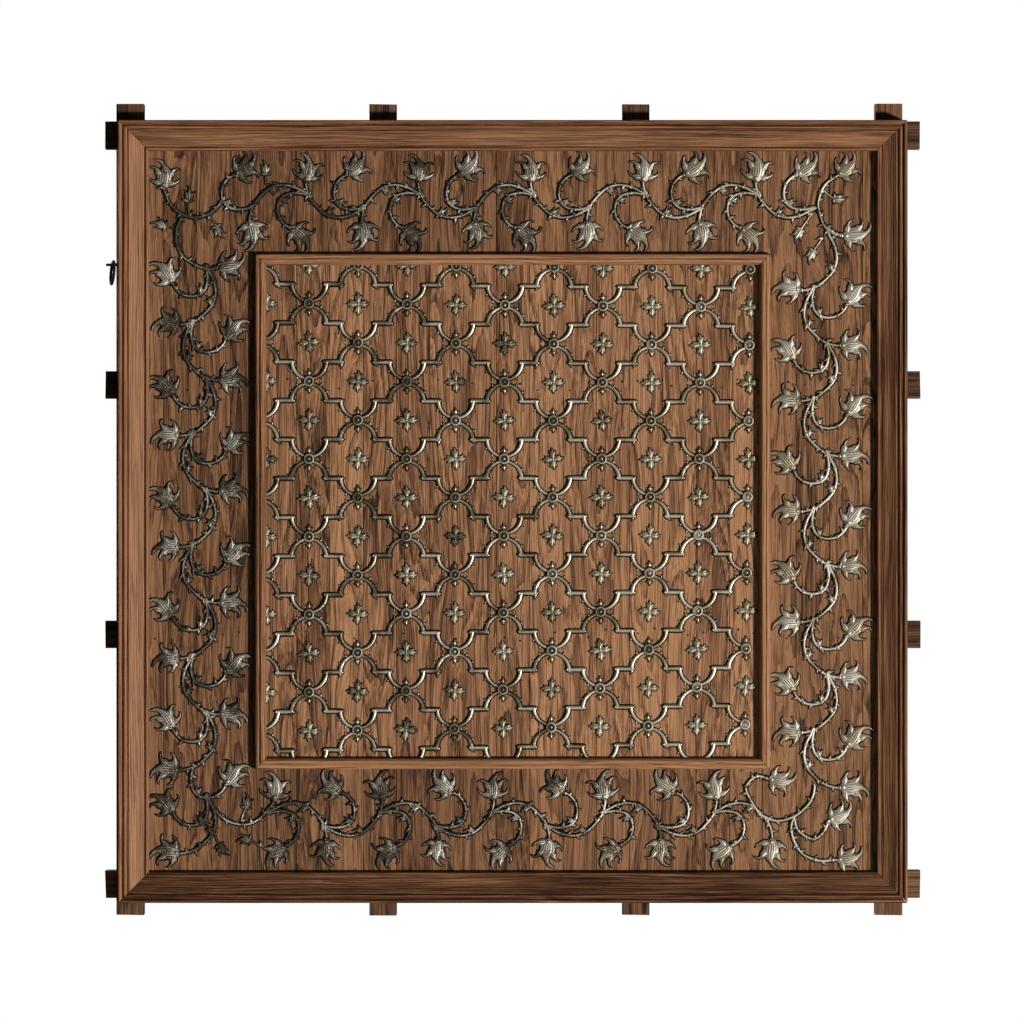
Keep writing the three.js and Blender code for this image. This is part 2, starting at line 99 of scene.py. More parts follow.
@dataclass(frozen=True)
class Place:
    """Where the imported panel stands, read from its nodes."""

    centre_z: float
    board_face: float
    half_width: float
    half_height: float
    frame_width: float
    inner_half: float
    inner_width: float

    @classmethod
    def read(cls) -> "Place":
        """Measures the frames and the boards.

        Returns:
            The place, with every length but centre_z in millimetres.
        """
        left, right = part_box("frame_left"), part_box("frame_right")
        inner_left, inner_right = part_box("inner_frame_left"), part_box("inner_frame_right")
        return cls(
            centre_z=(left[0].z + left[1].z) / 2,
            board_face=-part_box("board_01")[0].y / MM,
            half_width=(right[1].x - left[0].x) / 2 / MM,
            half_height=(left[1].z - left[0].z) / 2 / MM,
            frame_width=(left[1].x - left[0].x) / MM,
            inner_half=(inner_right[1].x - inner_left[0].x) / 2 / MM,
            inner_width=(inner_left[1].x - inner_left[0].x) / MM,
        )

    @property
    def to_room(self) -> Matrix:
        """The matrix from millimetres on the panel's face to metres in the room."""
        return Matrix.Translation((0, 0, self.centre_z)) @ Matrix.Rotation(math.pi / 2, 4, "X") @ Matrix.Scale(MM, 4)

    @property
    def field_half(self) -> float:
        """Half the inner frame's opening."""
        return self.inner_half - self.inner_width


@dataclass
class Solid:
    """Vertices and faces being gathered, with a relief from 0 in the hollows to 1 on the ridges."""

    points: list[Corner] = field(default_factory=list)
    faces: list[tuple[int, ...]] = field(default_factory=list)
    relief: list[float] = field(default_factory=list)

    def grid(self, rows: int, columns: int, capped: bool = True) -> None:
        """Adds the faces of points laid out in closed rows.

        Args:
            rows: how many rows of points there are.
            columns: how many points a row has.
            capped: whether the first and the last row become faces too.
        """
        for row in range(rows - 1):
            for column in range(columns):
                a, b = row * columns + column, row * columns + (column + 1) % columns
                self.faces.append((a, b, b + columns, a + columns))
        if capped:
            self.faces += [tuple(range(columns)), tuple(range((rows - 1) * columns, rows * columns))]

    def mesh(self, name: str, sharp: float = 40.0) -> bpy.types.Mesh:
        """Makes a smooth-shaded mesh with the relief on its points.

        Args:
            name: the mesh's name.
            sharp: the angle in degrees from which an edge stays sharp.

        Returns:
            The mesh.
        """
        mesh = bpy.data.meshes.new(name)
        mesh.from_pydata(self.points, [], self.faces)
        relief = self.relief or [0.5] * len(self.points)
        mesh.attributes.new("relief", "FLOAT", "POINT").data.foreach_set("value", relief)
        mesh.polygons.foreach_set("use_smooth", [True] * len(mesh.polygons))
        mesh.set_sharp_from_angle(angle=math.radians(sharp))
        mesh.update()
        return mesh


def new_object(name: str, data: bpy.types.ID) -> bpy.types.Object:
    """Puts a mesh, a lamp or a camera into the scene.

    Args:
        name: the object's name.
        data: what it holds.

    Returns:
        The object, at the origin.
    """
    thing = bpy.data.objects.new(name, data)
    bpy.context.scene.collection.objects.link(thing)
    return thing


def turned_outwards(mesh: bpy.types.Mesh) -> bpy.types.Mesh:
    """Turns a closed mesh's faces outwards.

    Args:
        mesh: the mesh to turn, in place.

    Returns:
        The same mesh.
    """
    work = bmesh.new()
    work.from_mesh(mesh)
    bmesh.ops.recalc_face_normals(work, faces=work.faces)
    work.to_mesh(mesh)
    work.free()
    return mesh


def finished(thing: bpy.types.Object, body: str, slot: str, *nodes: str) -> None:
    """Ties a piece to its body and hides the nodes it stands for.

    Args:
        thing: the piece, in place.
        body: the body it rides on.
        slot: the record's material slot; not used.
        *nodes: the solids it stands for.
    """
    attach(thing, body)
    if nodes:
        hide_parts(*nodes)
    log.info("%s: %d faces", thing.name, len(thing.data.polygons))


def span(node: str, axis: str) -> Point:
    """Where a node starts and ends along an axis, in millimetres.

    Args:
        node: the node's name.
        axis: x, y or z.

    Returns:
        The start and the end.
    """
    low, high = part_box(node)
    return getattr(low, axis) / MM, getattr(high, axis) / MM


def numbered(prefix: str) -> list[str]:
    """The nodes whose names start alike, in order."""
    return sorted(name for name in frame["nodes"] if name.startswith(prefix))


def through(points: list[Point], steps: int) -> list[Point]:
    """A smooth line through points, as a Catmull-Rom curve.

    Args:
        points: the points it passes.
        steps: how many stretches lie between two of them.

    Returns:
        The line's points.
    """
    ends = [np.array(p, float) for p in points]
    ends = [2 * ends[0] - ends[1], *ends, 2 * ends[-1] - ends[-2]]
    line = []
    for a, b, c, d in zip(ends, ends[1:], ends[2:], ends[3:]):
        for step in range(steps):
            t = step / steps
            square, cube = (2 * a - 5 * b + 4 * c - d) * t**2, (3 * b - a - 3 * c + d) * t**3
            line.append(tuple(0.5 * (2 * b + (c - a) * t + square + cube)))
    return [*line, tuple(ends[-2])]


def softened(outline: list[Point], rounds: int = 2, keep: int = 0) -> list[Point]:
    """Rounds an outline's corners by cutting them again and again.

    Args:
        outline: the points of a closed outline.
        rounds: how often each corner is cut.
        keep: how many of the first corners stay sharp.

    Returns:
        The rounded outline.
    """
    corners = [(point, index < keep) for index, point in enumerate(outline)]
    for _ in range(rounds):
        cut = []
        for index, (here, sharp) in enumerate(corners):
            if sharp:
                cut.append((here, True))
                continue
            for neighbour in (corners[index - 1][0], corners[(index + 1) % len(corners)][0]):
                cut.append((tuple(0.75 * a + 0.25 * b for a, b in zip(here, neighbour)), False))
        corners = cut
    return [point for point, _ in corners]


# Node trees


@dataclass(frozen=True)
class Wiring:
    """A node tree being wired up, with a short call for each kind of node that comes often."""

    tree: bpy.types.NodeTree

    @classmethod
    def started(cls, name: str, kind: str, inputs: dict[str, str | float], outputs: dict[str, str]) -> "Wiring":
        """Starts a group with its sockets.

        Args:
            name: the group's name.
            kind: the group's type.
            inputs: each input's type, or the default of one that is a number, by name.
            outputs: each output's type, by name.

        Returns:
            The wiring of the new group.
        """
        tree = bpy.data.node_groups.new(name, kind)
        for in_out, sockets in (("INPUT", inputs), ("OUTPUT", outputs)):
            for label, what in sockets.items():
                word = "Float" if isinstance(what, float) else what
                socket = tree.interface.new_socket(name=label, in_out=in_out, socket_type=f"NodeSocket{word}")
                if isinstance(what, float):
                    socket.default_value = what
        return cls(tree)

    def node(self, kind: str, inputs: dict | None = None, **settings: object) -> bpy.types.Node:
        """Adds a node, sets it and links it.

        Args:
            kind: the node's type.
            inputs: a socket or a value for each input, by name or number.
            **settings: the node's own settings.

        Returns:
            The node.
        """
        node = self.tree.nodes.new(kind)
        for name, value in settings.items():
            setattr(node, name, value)
        self.fill(node.inputs, inputs or {})
        return node

    def fill(self, sockets: bpy.types.NodeInputs, values: dict) -> None:
        """Links or sets inputs, by name or number.

        Args:
            sockets: a node's inputs.
            values: a socket or a value for each.
        """
        for key, source in values.items():
            if isinstance(source, bpy.types.NodeSocket):
                self.tree.links.new(source, sockets[key])
            else:
                sockets[key].default_value = source

    def given(self) -> bpy.types.NodeOutputs:
        """The group's own inputs."""
        return self.node("NodeGroupInput").outputs

    def attribute(self, name: str, output: str) -> Socket:
        """Reads an attribute of the mesh in a material."""
        return self.node("ShaderNodeAttribute", attribute_name=name).outputs[output]

    def named(self, name: str, kind: str = "FLOAT") -> Socket:
        """Reads an attribute of the mesh in a geometry tree."""
        return self.node("GeometryNodeInputNamedAttribute", {"Name": name}, data_type=kind).outputs[0]

    def shape_of(self, thing: Socket) -> Socket:
        """The geometry of an object."""
        return self.node("GeometryNodeObjectInfo", {"Object": thing}).outputs["Geometry"]

    def about_z(self, angle: Socket) -> Socket:
        """A turn about the z axis alone."""
        return self.node("ShaderNodeCombineXYZ", {"Z": angle}).outputs[0]

    def maths(self, operation: str, *values: Socket | float) -> Socket:
        """Works out one number from others."""
        return self.node("ShaderNodeMath", dict(enumerate(values)), operation=operation).outputs[0]

    def vectors(self, operation: str, *values: Socket | tuple) -> Socket:
        """Works out one vector from others."""
        return self.node("ShaderNodeVectorMath", dict(enumerate(values)), operation=operation).outputs[0]

    def axis(self, vector: Socket, letter: str) -> Socket:
        """One coordinate of a vector."""
        return self.node("ShaderNodeSeparateXYZ", {0: vector}).outputs[letter]

    def stretched(self, vector: Socket, scale: Corner) -> Socket:
        """Scales each axis of a vector."""
        return self.node("ShaderNodeMapping", {"Vector": vector, "Scale": scale}).outputs[0]

    def noise(self, vector: Socket, scale: float, detail: float, roughness: float = 0.5) -> Socket:
        """Soft noise from 0 to 1."""
        inputs = {"Vector": vector, "Scale": scale, "Detail": detail, "Roughness": roughness}
        return self.node("ShaderNodeTexNoise", inputs).outputs["Fac"]

    def ranged(
        self,
        value: Socket,
        start: Socket | float,
        end: Socket | float,
        low: float = 0.0,
        high: float = 1.0,
        easing: str = "LINEAR",
    ) -> Socket:
        """Maps the stretch from start to end onto the one from low to high."""
        inputs = {0: value, 1: start, 2: end, 3: low, 4: high}
        return self.node("ShaderNodeMapRange", inputs, interpolation_type=easing).outputs[0]

    def ramp(self, factor: Socket, stops: list[tuple[float, Colour]]) -> Socket:
        """A colour ramp.

        Args:
            factor: what it reads.
            stops: places and colours, in order.

        Returns:
            The socket with the colour.
        """
        node = self.node("ShaderNodeValToRGB", {"Fac": factor})
        elements = node.color_ramp.elements
        for extra in stops[2:]:
            elements.new(extra[0])
        for element, (position, colour) in zip(elements, stops):
            element.position = position
            element.color = (*colour, 1.0)
        return node.outputs["Color"]

    def blended(self, factor: Socket, first: Socket | Colour, second: Socket | Colour, how: str = "MIX") -> Socket:
        """Mixes two colours.

        Args:
            factor: how much of the second.
            first: a socket or a colour.
            second: a socket or a colour.
            how: the blend type.

        Returns:
            The socket with the mixed colour.
        """
        colours = [c if isinstance(c, bpy.types.NodeSocket) else (*c, 1.0) for c in (first, second)]
        inputs = {0: factor, 6: colours[0], 7: colours[1]}
        return self.node("ShaderNodeMix", inputs, data_type="RGBA", blend_type=how).outputs[2]

    def output(self, values: dict) -> bpy.types.NodeTree:
        """Ends the group with its outputs."""
        self.node("NodeGroupOutput", values)
        return self.tree


def wood_figure() -> bpy.types.NodeTree:
    """The figure of sawn wood, from coordinates across, through and along it.

    Returns:
        The shader group.
    """
    names = ("Rings", "Fibre", "Pores", "Stain", "Knot", "Drift")
    defaults = {"Grain": "Vector", "Ring scale": 60.0, "Wander": 0.05}
    wiring = Wiring.started("wood_figure", "ShaderNodeTree", defaults, dict.fromkeys(names, "Float"))
    given = wiring.given()
    slow = wiring.stretched(given["Grain"], (1.0, 1.0, 0.16))
    bend = wiring.node("ShaderNodeTexNoise", {"Vector": slow, "Scale": 9.0, "Detail": 2.0}).outputs["Color"]
    centred = wiring.vectors("SUBTRACT", bend, (0.5, 0.5, 0.5))
    scaled = {0: centred, "Scale": given["Wander"]}
    wander = wiring.node("ShaderNodeVectorMath", scaled, operation="SCALE").outputs[0]
    bent = wiring.vectors("ADD", given["Grain"], wander)
    wave = {
        "Vector": wiring.stretched(bent, (1.0, 1.0, 0.05)),
        "Scale": given["Ring scale"],
        "Distortion": 2.2,
        "Detail": 3.0,
        "Detail Scale": 1.6,
    }
    turns = {"wave_type": "RINGS", "rings_direction": "Z", "wave_profile": "SAW"}
    rings = wiring.node("ShaderNodeTexWave", wave, **turns).outputs["Fac"]
    fibre = wiring.noise(wiring.stretched(bent, (1.0, 1.0, 0.012)), 400.0, 4.0, 0.72)
    lines = wiring.noise(wiring.stretched(bent, (1.0, 1.0, 0.016)), 600.0, 2.0, 0.6)
    pores = wiring.ranged(lines, 0.54, 0.7, easing="SMOOTHSTEP")
    stain = wiring.noise(wiring.stretched(bent, (1.0, 1.0, 0.1)), 40.0, 6.0, 0.65)
    drift = wiring.noise(slow, 14.0, 3.0)
    spots = wiring.stretched(given["Grain"], (1.0, 0.3, 0.6))
    cell = wiring.node("ShaderNodeTexVoronoi", {"Vector": spots, "Scale": 9.0}).outputs
    pick = wiring.maths("GREATER_THAN", cell["Color"], 0.62)
    core = wiring.ranged(cell["Distance"], 0.035, 0.11, 1.0, 0.0, "SMOOTHSTEP")
    knot = wiring.maths("MULTIPLY", core, pick)
    return wiring.output(dict(zip(names, (rings, fibre, pores, stain, knot, drift))))


def patina_figure() -> bpy.types.NodeTree:
    """The patina of an old casting: bright where it is rubbed, dark in the hollows, with painted light on top: the
    metal is made brighter towards the right, the side the key lamp shines from.

    Returns:
        The shader group.
    """
    inputs = {"Relief": "Float", "Position": "Vector", "Rubbed from": 0.4}
    outputs = dict.fromkeys(("Rubbed", "Patch", "Pits"), "Float")
    wiring = Wiring.started("patina_figure", "ShaderNodeTree", inputs, outputs)
    given = wiring.given()
    patch = wiring.noise(given["Position"], 22.0, 3.0)
    # painted light: the start of the bright wear drops from left to right, so the metal comes out brighter towards
    # the lit right side
    painted_light_from_right = wiring.ranged(wiring.axis(given["Position"], "X"), -0.05, 0.64, -0.08, -0.5)
    patches_and_painted_light = wiring.maths("MULTIPLY_ADD", patch, 1.2, painted_light_from_right)
    start = wiring.maths("ADD", given["Rubbed from"], patches_and_painted_light)
    pits = wiring.noise(given["Position"], 330.0, 3.0)
    mixed = wiring.maths("MULTIPLY_ADD", wiring.maths("SUBTRACT", pits, 0.25), 0.9, given["Relief"])
    level = wiring.maths("ADD", start, 0.1)
    full = wiring.maths("ADD", level, 0.44)
    rubbed_and_lit = wiring.ranged(mixed, level, full, easing="SMOOTHSTEP")
    return wiring.output({"Rubbed": rubbed_and_lit, "Patch": patch, "Pits": pits})


def border_figure(place: Place) -> bpy.types.NodeTree:
    """The part of the boards' front outside the inner frame, which is darker: partly stain round the castings, partly
    painted shade of the recess between the two frames.

    Args:
        place: where the panel stands.

    Returns:
        The shader group.
    """
    wiring = Wiring.started("border_figure", "ShaderNodeTree", {}, {"Outside": "Float"})
    position = wiring.node("ShaderNodeTexCoord").outputs["Object"]
    centred = wiring.vectors("SUBTRACT", position, (0, 0, place.centre_z))
    reach = wiring.vectors("ABSOLUTE", centred)
    far = wiring.maths("MAXIMUM", wiring.axis(reach, "X"), wiring.axis(reach, "Z"))
    edge, face = place.inner_half * MM, -place.board_face * MM
    mask = wiring.ranged(far, edge - 0.01, edge)
    front = wiring.ranged(wiring.axis(position, "Y"), face + 0.004, face + 0.012, 1.0, 0.0)
    return wiring.output({"Outside": wiring.maths("MULTIPLY", mask, front)})


# Finishes


def new_material(name: str) -> tuple[bpy.types.Material, Wiring, bpy.types.NodeInputs]:
    """A material with a bare Principled shader.

    Args:
        name: the material's name.

    Returns:
        The material, the wiring of its tree and the shader's inputs.
    """
    material = bpy.data.materials.new(name)
    material.use_nodes = True
    return material, Wiring(material.node_tree), material.node_tree.nodes["Principled BSDF"].inputs


@dataclass(frozen=True)
class WoodFinish:
    """Old wood under oil and dust.

    The weave, late, drifted and toned fields say how far each figure moves the colour.
    """

    name: str
    deep: Colour
    mid: Colour
    pale: Colour
    stain: Colour
    ring_scale: float
    wander: float
    stain_from: float
    bump: float = 0.5
    # how dark the boards outside the inner frame are made: partly stain, partly painted shade of the recess between
    # the frames
    border: float = 1.0
    roughness: float = 0.62
    specular: float = 0.18
    weave: Point = (2.3, -0.98)
    late: float = -0.4
    drifted: float = 0.5
    toned: float = 0.4
    pore_depth: float = 0.48
    stain_depth: float = 0.6
    border_tint: Colour = (1.0, 0.97, 0.92)

    def material(self, figure: bpy.types.NodeTree) -> bpy.types.Material:
        """Builds the material.

        Args:
            figure: the group with the wood's figure.

        Returns:
            The material.
        """
        material, wiring, shader = new_material(self.name)
        values = {"Grain": wiring.attribute("grain", "Vector"), "Ring scale": self.ring_scale, "Wander": self.wander}
        group = wiring.node("ShaderNodeGroup", node_tree=figure)
        wiring.fill(group.inputs, values)
        rings, fibre, pores, stain, knot, drift = group.outputs
        late = wiring.maths("POWER", rings, 2.0)
        body = wiring.maths("MULTIPLY_ADD", fibre, *self.weave)
        body = wiring.maths("MULTIPLY_ADD", late, self.late, body)
        body = wiring.maths("MULTIPLY_ADD", drift, self.drifted, body)
        body = wiring.maths("MULTIPLY_ADD", wiring.attribute("tone", "Fac"), self.toned, body)
        colour = wiring.ramp(body, [(0.08, self.deep), (0.42, self.mid), (0.85, self.pale)])
        edge = wiring.ranged(stain, self.stain_from, self.stain_from + 0.16, 0.0, self.stain_depth, "SMOOTHSTEP")
        colour = wiring.blended(wiring.maths("MULTIPLY", pores, self.pore_depth), colour, self.deep)
        colour = wiring.blended(edge, colour, self.stain)
        colour = wiring.blended(knot, colour, tuple(0.35 * value for value in self.deep))
        # the border boards darkened and warmed: partly stain, partly painted shade
        if self.border < 1:
            beside = wiring.node("ShaderNodeGroup", node_tree=bpy.data.node_groups["border_figure"]).outputs[0]
            colour = wiring.blended(beside, colour, tuple(self.border * t for t in self.border_tint), "MULTIPLY")
        rough = wiring.ranged(fibre, 0.3, 0.7, self.roughness - 0.1, self.roughness + 0.15)
        height = wiring.maths("MULTIPLY_ADD", pores, -0.4, wiring.maths("MULTIPLY_ADD", late, -0.35, fibre))
        bump = wiring.node("ShaderNodeBump", {"Height": height, "Strength": self.bump, "Distance": 0.0012})
        looks = {"Base Color": colour, "Roughness": rough, "Normal": bump.outputs[0]}
        wiring.fill(shader, looks | {"Specular IOR Level": self.specular})
        return material


@dataclass(frozen=True)
class CastFinish:
    """Cast metal, dark in its hollows and rubbed bright on its ridges, and painted brighter towards the right side,
    where the key lamp falls.
    """

    name: str
    hollow: Colour
    body: Colour
    bright: Colour
    warm: Colour
    rubbed_from: float = 0.35
    roughness: float = 0.5
    metallic: float = 0.62

    def material(self, figure: bpy.types.NodeTree) -> bpy.types.Material:
        """Builds the material.

        Args:
            figure: the group with the patina.

        Returns:
            The material.
        """
        material, wiring, shader = new_material(self.name)
        relief = wiring.attribute("relief", "Fac")
        position = wiring.node("ShaderNodeTexCoord").outputs["Object"]
        group = wiring.node("ShaderNodeGroup", node_tree=figure)
        wiring.fill(group.inputs, {"Relief": relief, "Position": position, "Rubbed from": self.rubbed_from})
        rubbed_and_lit, patch, pits = group.outputs
        # the bright colour follows both the wear on the ridges and the painted light that brightens the right side
        shine = wiring.blended(wiring.ranged(patch, 0.42, 0.62), self.bright, self.warm)
        colour = wiring.blended(rubbed_and_lit, wiring.blended(relief, self.hollow, self.body), shine)
        metal = wiring.ranged(rubbed_and_lit, 0.0, 1.0, self.metallic - 0.2, self.metallic)
        rough = wiring.ranged(rubbed_and_lit, 0.0, 1.0, self.roughness + 0.22, self.roughness)
        bump = wiring.node("ShaderNodeBump", {"Height": pits, "Strength": 0.4, "Distance": 0.0005})
        looks = {"Base Color": colour, "Metallic": metal, "Roughness": rough, "Normal": bump.outputs[0]}
        wiring.fill(shader, looks)
        return material


BOARD_WOOD = WoodFinish(
    name="board_wood",
    deep=(0.035, 0.014, 0.006),
    mid=(0.215, 0.099, 0.044),
    pale=(0.5, 0.257, 0.126),
    stain=(0.028, 0.012, 0.005),
    ring_scale=42.0,
    wander=0.1,
    stain_from=0.6,
    border=0.69,
)
FRAME_WOOD = WoodFinish(
    name="frame_wood",
    deep=(0.032, 0.012, 0.005),
    mid=(0.18, 0.078, 0.035),
    pale=(0.4, 0.195, 0.094),
    stain=(0.03, 0.012, 0.005),
    ring_scale=70.0,
    wander=0.03,
    stain_from=0.62,
    roughness=0.5,
)
RAIL_WOOD = WoodFinish(
    name="rail_wood",
    deep=(0.05, 0.02, 0.008),
    mid=(0.24, 0.107, 0.05),
    pale=(0.46, 0.235, 0.115),
    stain=(0.04, 0.016, 0.006),
    ring_scale=60.0,
    wander=0.05,
    stain_from=0.62,
    roughness=0.5,
)
DARK_WOOD = WoodFinish(
    name="dark_wood",
    deep=(0.016, 0.008, 0.004),
    mid=(0.1, 0.047, 0.023),
    pale=(0.22, 0.11, 0.055),
    stain=(0.01, 0.005, 0.003),
    ring_scale=60.0,
    wander=0.03,
    stain_from=0.5,
    roughness=0.7,
)
# the castings' hollow colour: soot and tarnish in the hollows, and painted shadow on the dark skirt round each blade
SOOT_AND_SHADE = (0.004, 0.003, 0.002)
SILVERED = CastFinish("silvered_casting", SOOT_AND_SHADE, (0.052, 0.043, 0.028), (0.61, 0.565, 0.48), (0.44, 0.37, 0.25))
STRAP_METAL = CastFinish(
    name="strap_casting",
    hollow=SOOT_AND_SHADE,
    body=(0.075, 0.063, 0.04),
    bright=(0.56, 0.51, 0.4),
    warm=(0.38, 0.32, 0.19),
    rubbed_from=0.17,
    roughness=0.42,
    metallic=0.75,
)
BRASSY = CastFinish("brassy_casting", SOOT_AND_SHADE, (0.06, 0.05, 0.032), (0.5, 0.45, 0.33), (0.38, 0.32, 0.19), 0.2)
BLACK_IRON = CastFinish(
    name="black_iron",
    hollow=(0.005, 0.005, 0.005),
    body=(0.007, 0.007, 0.007),
    bright=(0.022, 0.021, 0.02),
    warm=(0.018, 0.015, 0.013),
    rubbed_from=0.55,
    roughness=0.6,
    metallic=0.5,
)


# Small castings


class Flutes(Enum):
    """How half a blade's upper face is fluted, from its middle out.

    Each step gives a share of the half width, a share of the height and the relief.
    """

    FINE = (
        (0.0, 0.8, 0.0),
        (0.06, 1.0, 0.95),
        (0.22, 1.0, 1.0),
        (0.28, 0.7, 0.05),
        (0.34, 0.94, 0.95),
        (0.52, 0.86, 1.0),
        (0.58, 0.56, 0.05),
        (0.64, 0.78, 0.9),
        (0.84, 0.64, 0.8),
        (0.93, 0.45, 0.15),
        (1.0, 0.25, 0.0),
    )
    BOLD = (
        (0.0, 0.7, 0.0),
        (0.1, 1.0, 1.0),
        (0.4, 0.92, 0.95),
        (0.48, 0.6, 0.1),
        (0.56, 0.82, 0.9),
        (0.8, 0.66, 0.75),
        (0.9, 0.5, 0.15),
        (1.0, 0.25, 0.0),
    )
    PLAIN = ((0.0, 1.0, 1.0), (0.6, 0.8, 0.9), (1.0, 0.25, 0.0))

    @property
    def across(self) -> list[tuple[float, float, float]]:
        """The steps from one edge to the other."""
        half = list(self.value)
        return [(-share, lift, relief) for share, lift, relief in reversed(half[1:])] + half


@dataclass(frozen=True)
class Lobe:
    """A blade of leaf that ends in a hooked claw, lying flat from its start along its aim."""

    length: float
    width: float
    aim: float = 0.0
    hook: float = 0.0
    thickness: float = 5.0
    start: Point = (0.0, 0.0)
    rows: int = 12
    flutes: Flutes = Flutes.BOLD
    teeth: int = 0
    base: float = 0.55
    claw_from: float = 0.72
    claw: float = 0.2
    broad: float = 0.34
    # width of a dark skirt round each blade at the hollow colour: partly tarnish where the casting meets the boards,
    # partly painted shadow along its edge
    bed: float = 1.3

    def _share(self, along: float) -> float:
        """The blade's width at a point.

        Args:
            along: the point, from 0 at the start to 1 at the tip.

        Returns:
            A share of its full width.
        """
        if along < self.broad:
            return self.base + (1 - self.base) * math.sin(along / self.broad * math.pi / 2)
        if along < self.claw_from:
            fall = (along - self.broad) / (self.claw_from - self.broad)
            tooth = 1 - 0.2 * ((fall * self.teeth) % 1.0) if self.teeth else 1.0
            return (1 - (1 - self.claw) * fall**1.3) * tooth
        return self.claw * (1 - 0.85 * ((along - self.claw_from) / (1 - self.claw_from)) ** 1.8)

    def solid(self) -> Solid:
        """Builds the blade.

        Returns:
            Its solid, closed by a flat underside.
        """
        made = Solid()
        steps = self.flutes.across
        x, y = self.start
        step = self.length / (self.rows - 1)
        for row in range(self.rows):
            along = row / (self.rows - 1)
            bend = max(0.0, (along - 0.4) / 0.6)
            angle = self.aim + self.hook * bend**1.4
            half = self.width / 2 * self._share(along)
            top = self.thickness * (0.7 + 0.3 * math.sin(math.pi * min(along * 1.4, 1.0)))
            rim = half + self.bed
            blade = [(share * half, top * lift, relief) for share, lift, relief in steps]
            # the skirt corners have no relief, so they take the dark hollow colour: tarnish and painted shadow round
            # the blade
            for across, height, relief in [(-rim, 0.0, 0.0), *blade, (rim, 0.0, 0.0)]:
                made.points.append((x - math.sin(angle) * across, y + math.cos(angle) * across, height))
                made.relief.append(relief)
            x += math.cos(angle) * step
            y += math.sin(angle) * step
        made.grid(self.rows, len(steps) + 2)
        return made


def turned(profile: list[Point], sides: int, half: bool = False) -> Solid:
    """A solid of revolution that stands on its flat base.

    Args:
        profile: radius and height, from the rim of the base to the axis.
        sides: how many sides it has.
        half: whether it lies on its side as a half round, with its heights along x.

    Returns:
        The solid, its relief rising with its height.
    """
    made = Solid()
    highest = max(height for _, height in profile)
    widest = max(radius for radius, _ in profile)
    for radius, height in profile:
        for side in range(sides):
            angle = 2 * math.pi * side / sides
            if half:
                up = radius * math.sin(angle)
                made.points.append((height, radius * math.cos(angle), max(up, 0.0)))
                made.relief.append((max(up, 0.0) / widest) ** 3)
            else:
                made.points.append((radius * math.cos(angle), radius * math.sin(angle), height))
                made.relief.append(0.05 + 0.95 * (height / highest) ** 3)
    made.grid(len(profile), sides)
    return made


def together(*parts: Lobe | Solid) -> Solid:
    """Gathers blades and solids into one.

    Args:
        *parts: the blades and solids.

    Returns:
        The gathered solid.
    """
    whole = Solid()
    for part in parts:
        solid = part.solid() if isinstance(part, Lobe) else part
        start = len(whole.points)
        whole.points += solid.points
        whole.relief += solid.relief
        whole.faces += [tuple(start + i for i in face) for face in solid.faces]
    return whole


@dataclass(frozen=True)
class Stem:
    """A line that a section follows, with its thickness at the start and the end."""

    line: list[Point]
    start: float = 1.0
    end: float = 1.0


@dataclass(frozen=True)
class Seat:
    """A spot that carries one small shape."""

    shape: Shape
    at: Point
    turn: float = 0.0
    grow: float = 1.0


@dataclass
class Layout:
    """The stems and the seats of one casting, with the source of their small differences."""

    rng: random.Random
    stems: list[Stem] = field(default_factory=list)
    seats: list[Seat] = field(default_factory=list)

    def seat(self, shape: Shape, at: Point, turn: float = 0.0, grow: float = 1.0) -> None:
        """Sets a shape on a spot."""
        self.seats.append(Seat(shape, at, turn, grow))

    def stem_mesh(self, name: str) -> bpy.types.Mesh:
        """The stems as chains of edges with their girth.

        Args:
            name: the mesh's name.

        Returns:
            The mesh.
        """
        points, edges, girth = [], [], []
        for stem in self.stems:
            start, count = len(points), len(stem.line)
            points += [(x, y, 0.0) for x, y in stem.line]
            edges += [(start + i, start + i + 1) for i in range(count - 1)]
            girth += [stem.start + (stem.end - stem.start) * i / (count - 1) for i in range(count)]
        return marked_mesh(name, points, edges, {"girth": girth})

    def seat_mesh(self) -> bpy.types.Mesh:
        """The seats as points with their kind, turn and growth.

        Returns:
            The mesh.
        """
        values = {name: [getattr(seat, name) for seat in self.seats] for name in ("turn", "grow")}
        mesh = marked_mesh("seats", [(*seat.at, 0.0) for seat in self.seats], [], values)
        kinds = [seat.shape.value for seat in self.seats]
        mesh.attributes.new("kind", "INT", "POINT").data.foreach_set("value", kinds)
        return mesh


def marked_mesh(
    name: str, points: list[Corner], edges: list[tuple[int, int]], values: dict[str, list[float]]
) -> bpy.types.Mesh:
    """Points and edges that carry numbers.

    Args:
        name: the mesh's name.
        points: the points.
        edges: the edges.
        values: a number for every point, by attribute.

    Returns:
        The mesh.
    """
    mesh = bpy.data.meshes.new(name)
    mesh.from_pydata(points, edges, [])
    for label, numbers in values.items():
        mesh.attributes.new(label, "FLOAT", "POINT").data.foreach_set("value", numbers)
    return mesh


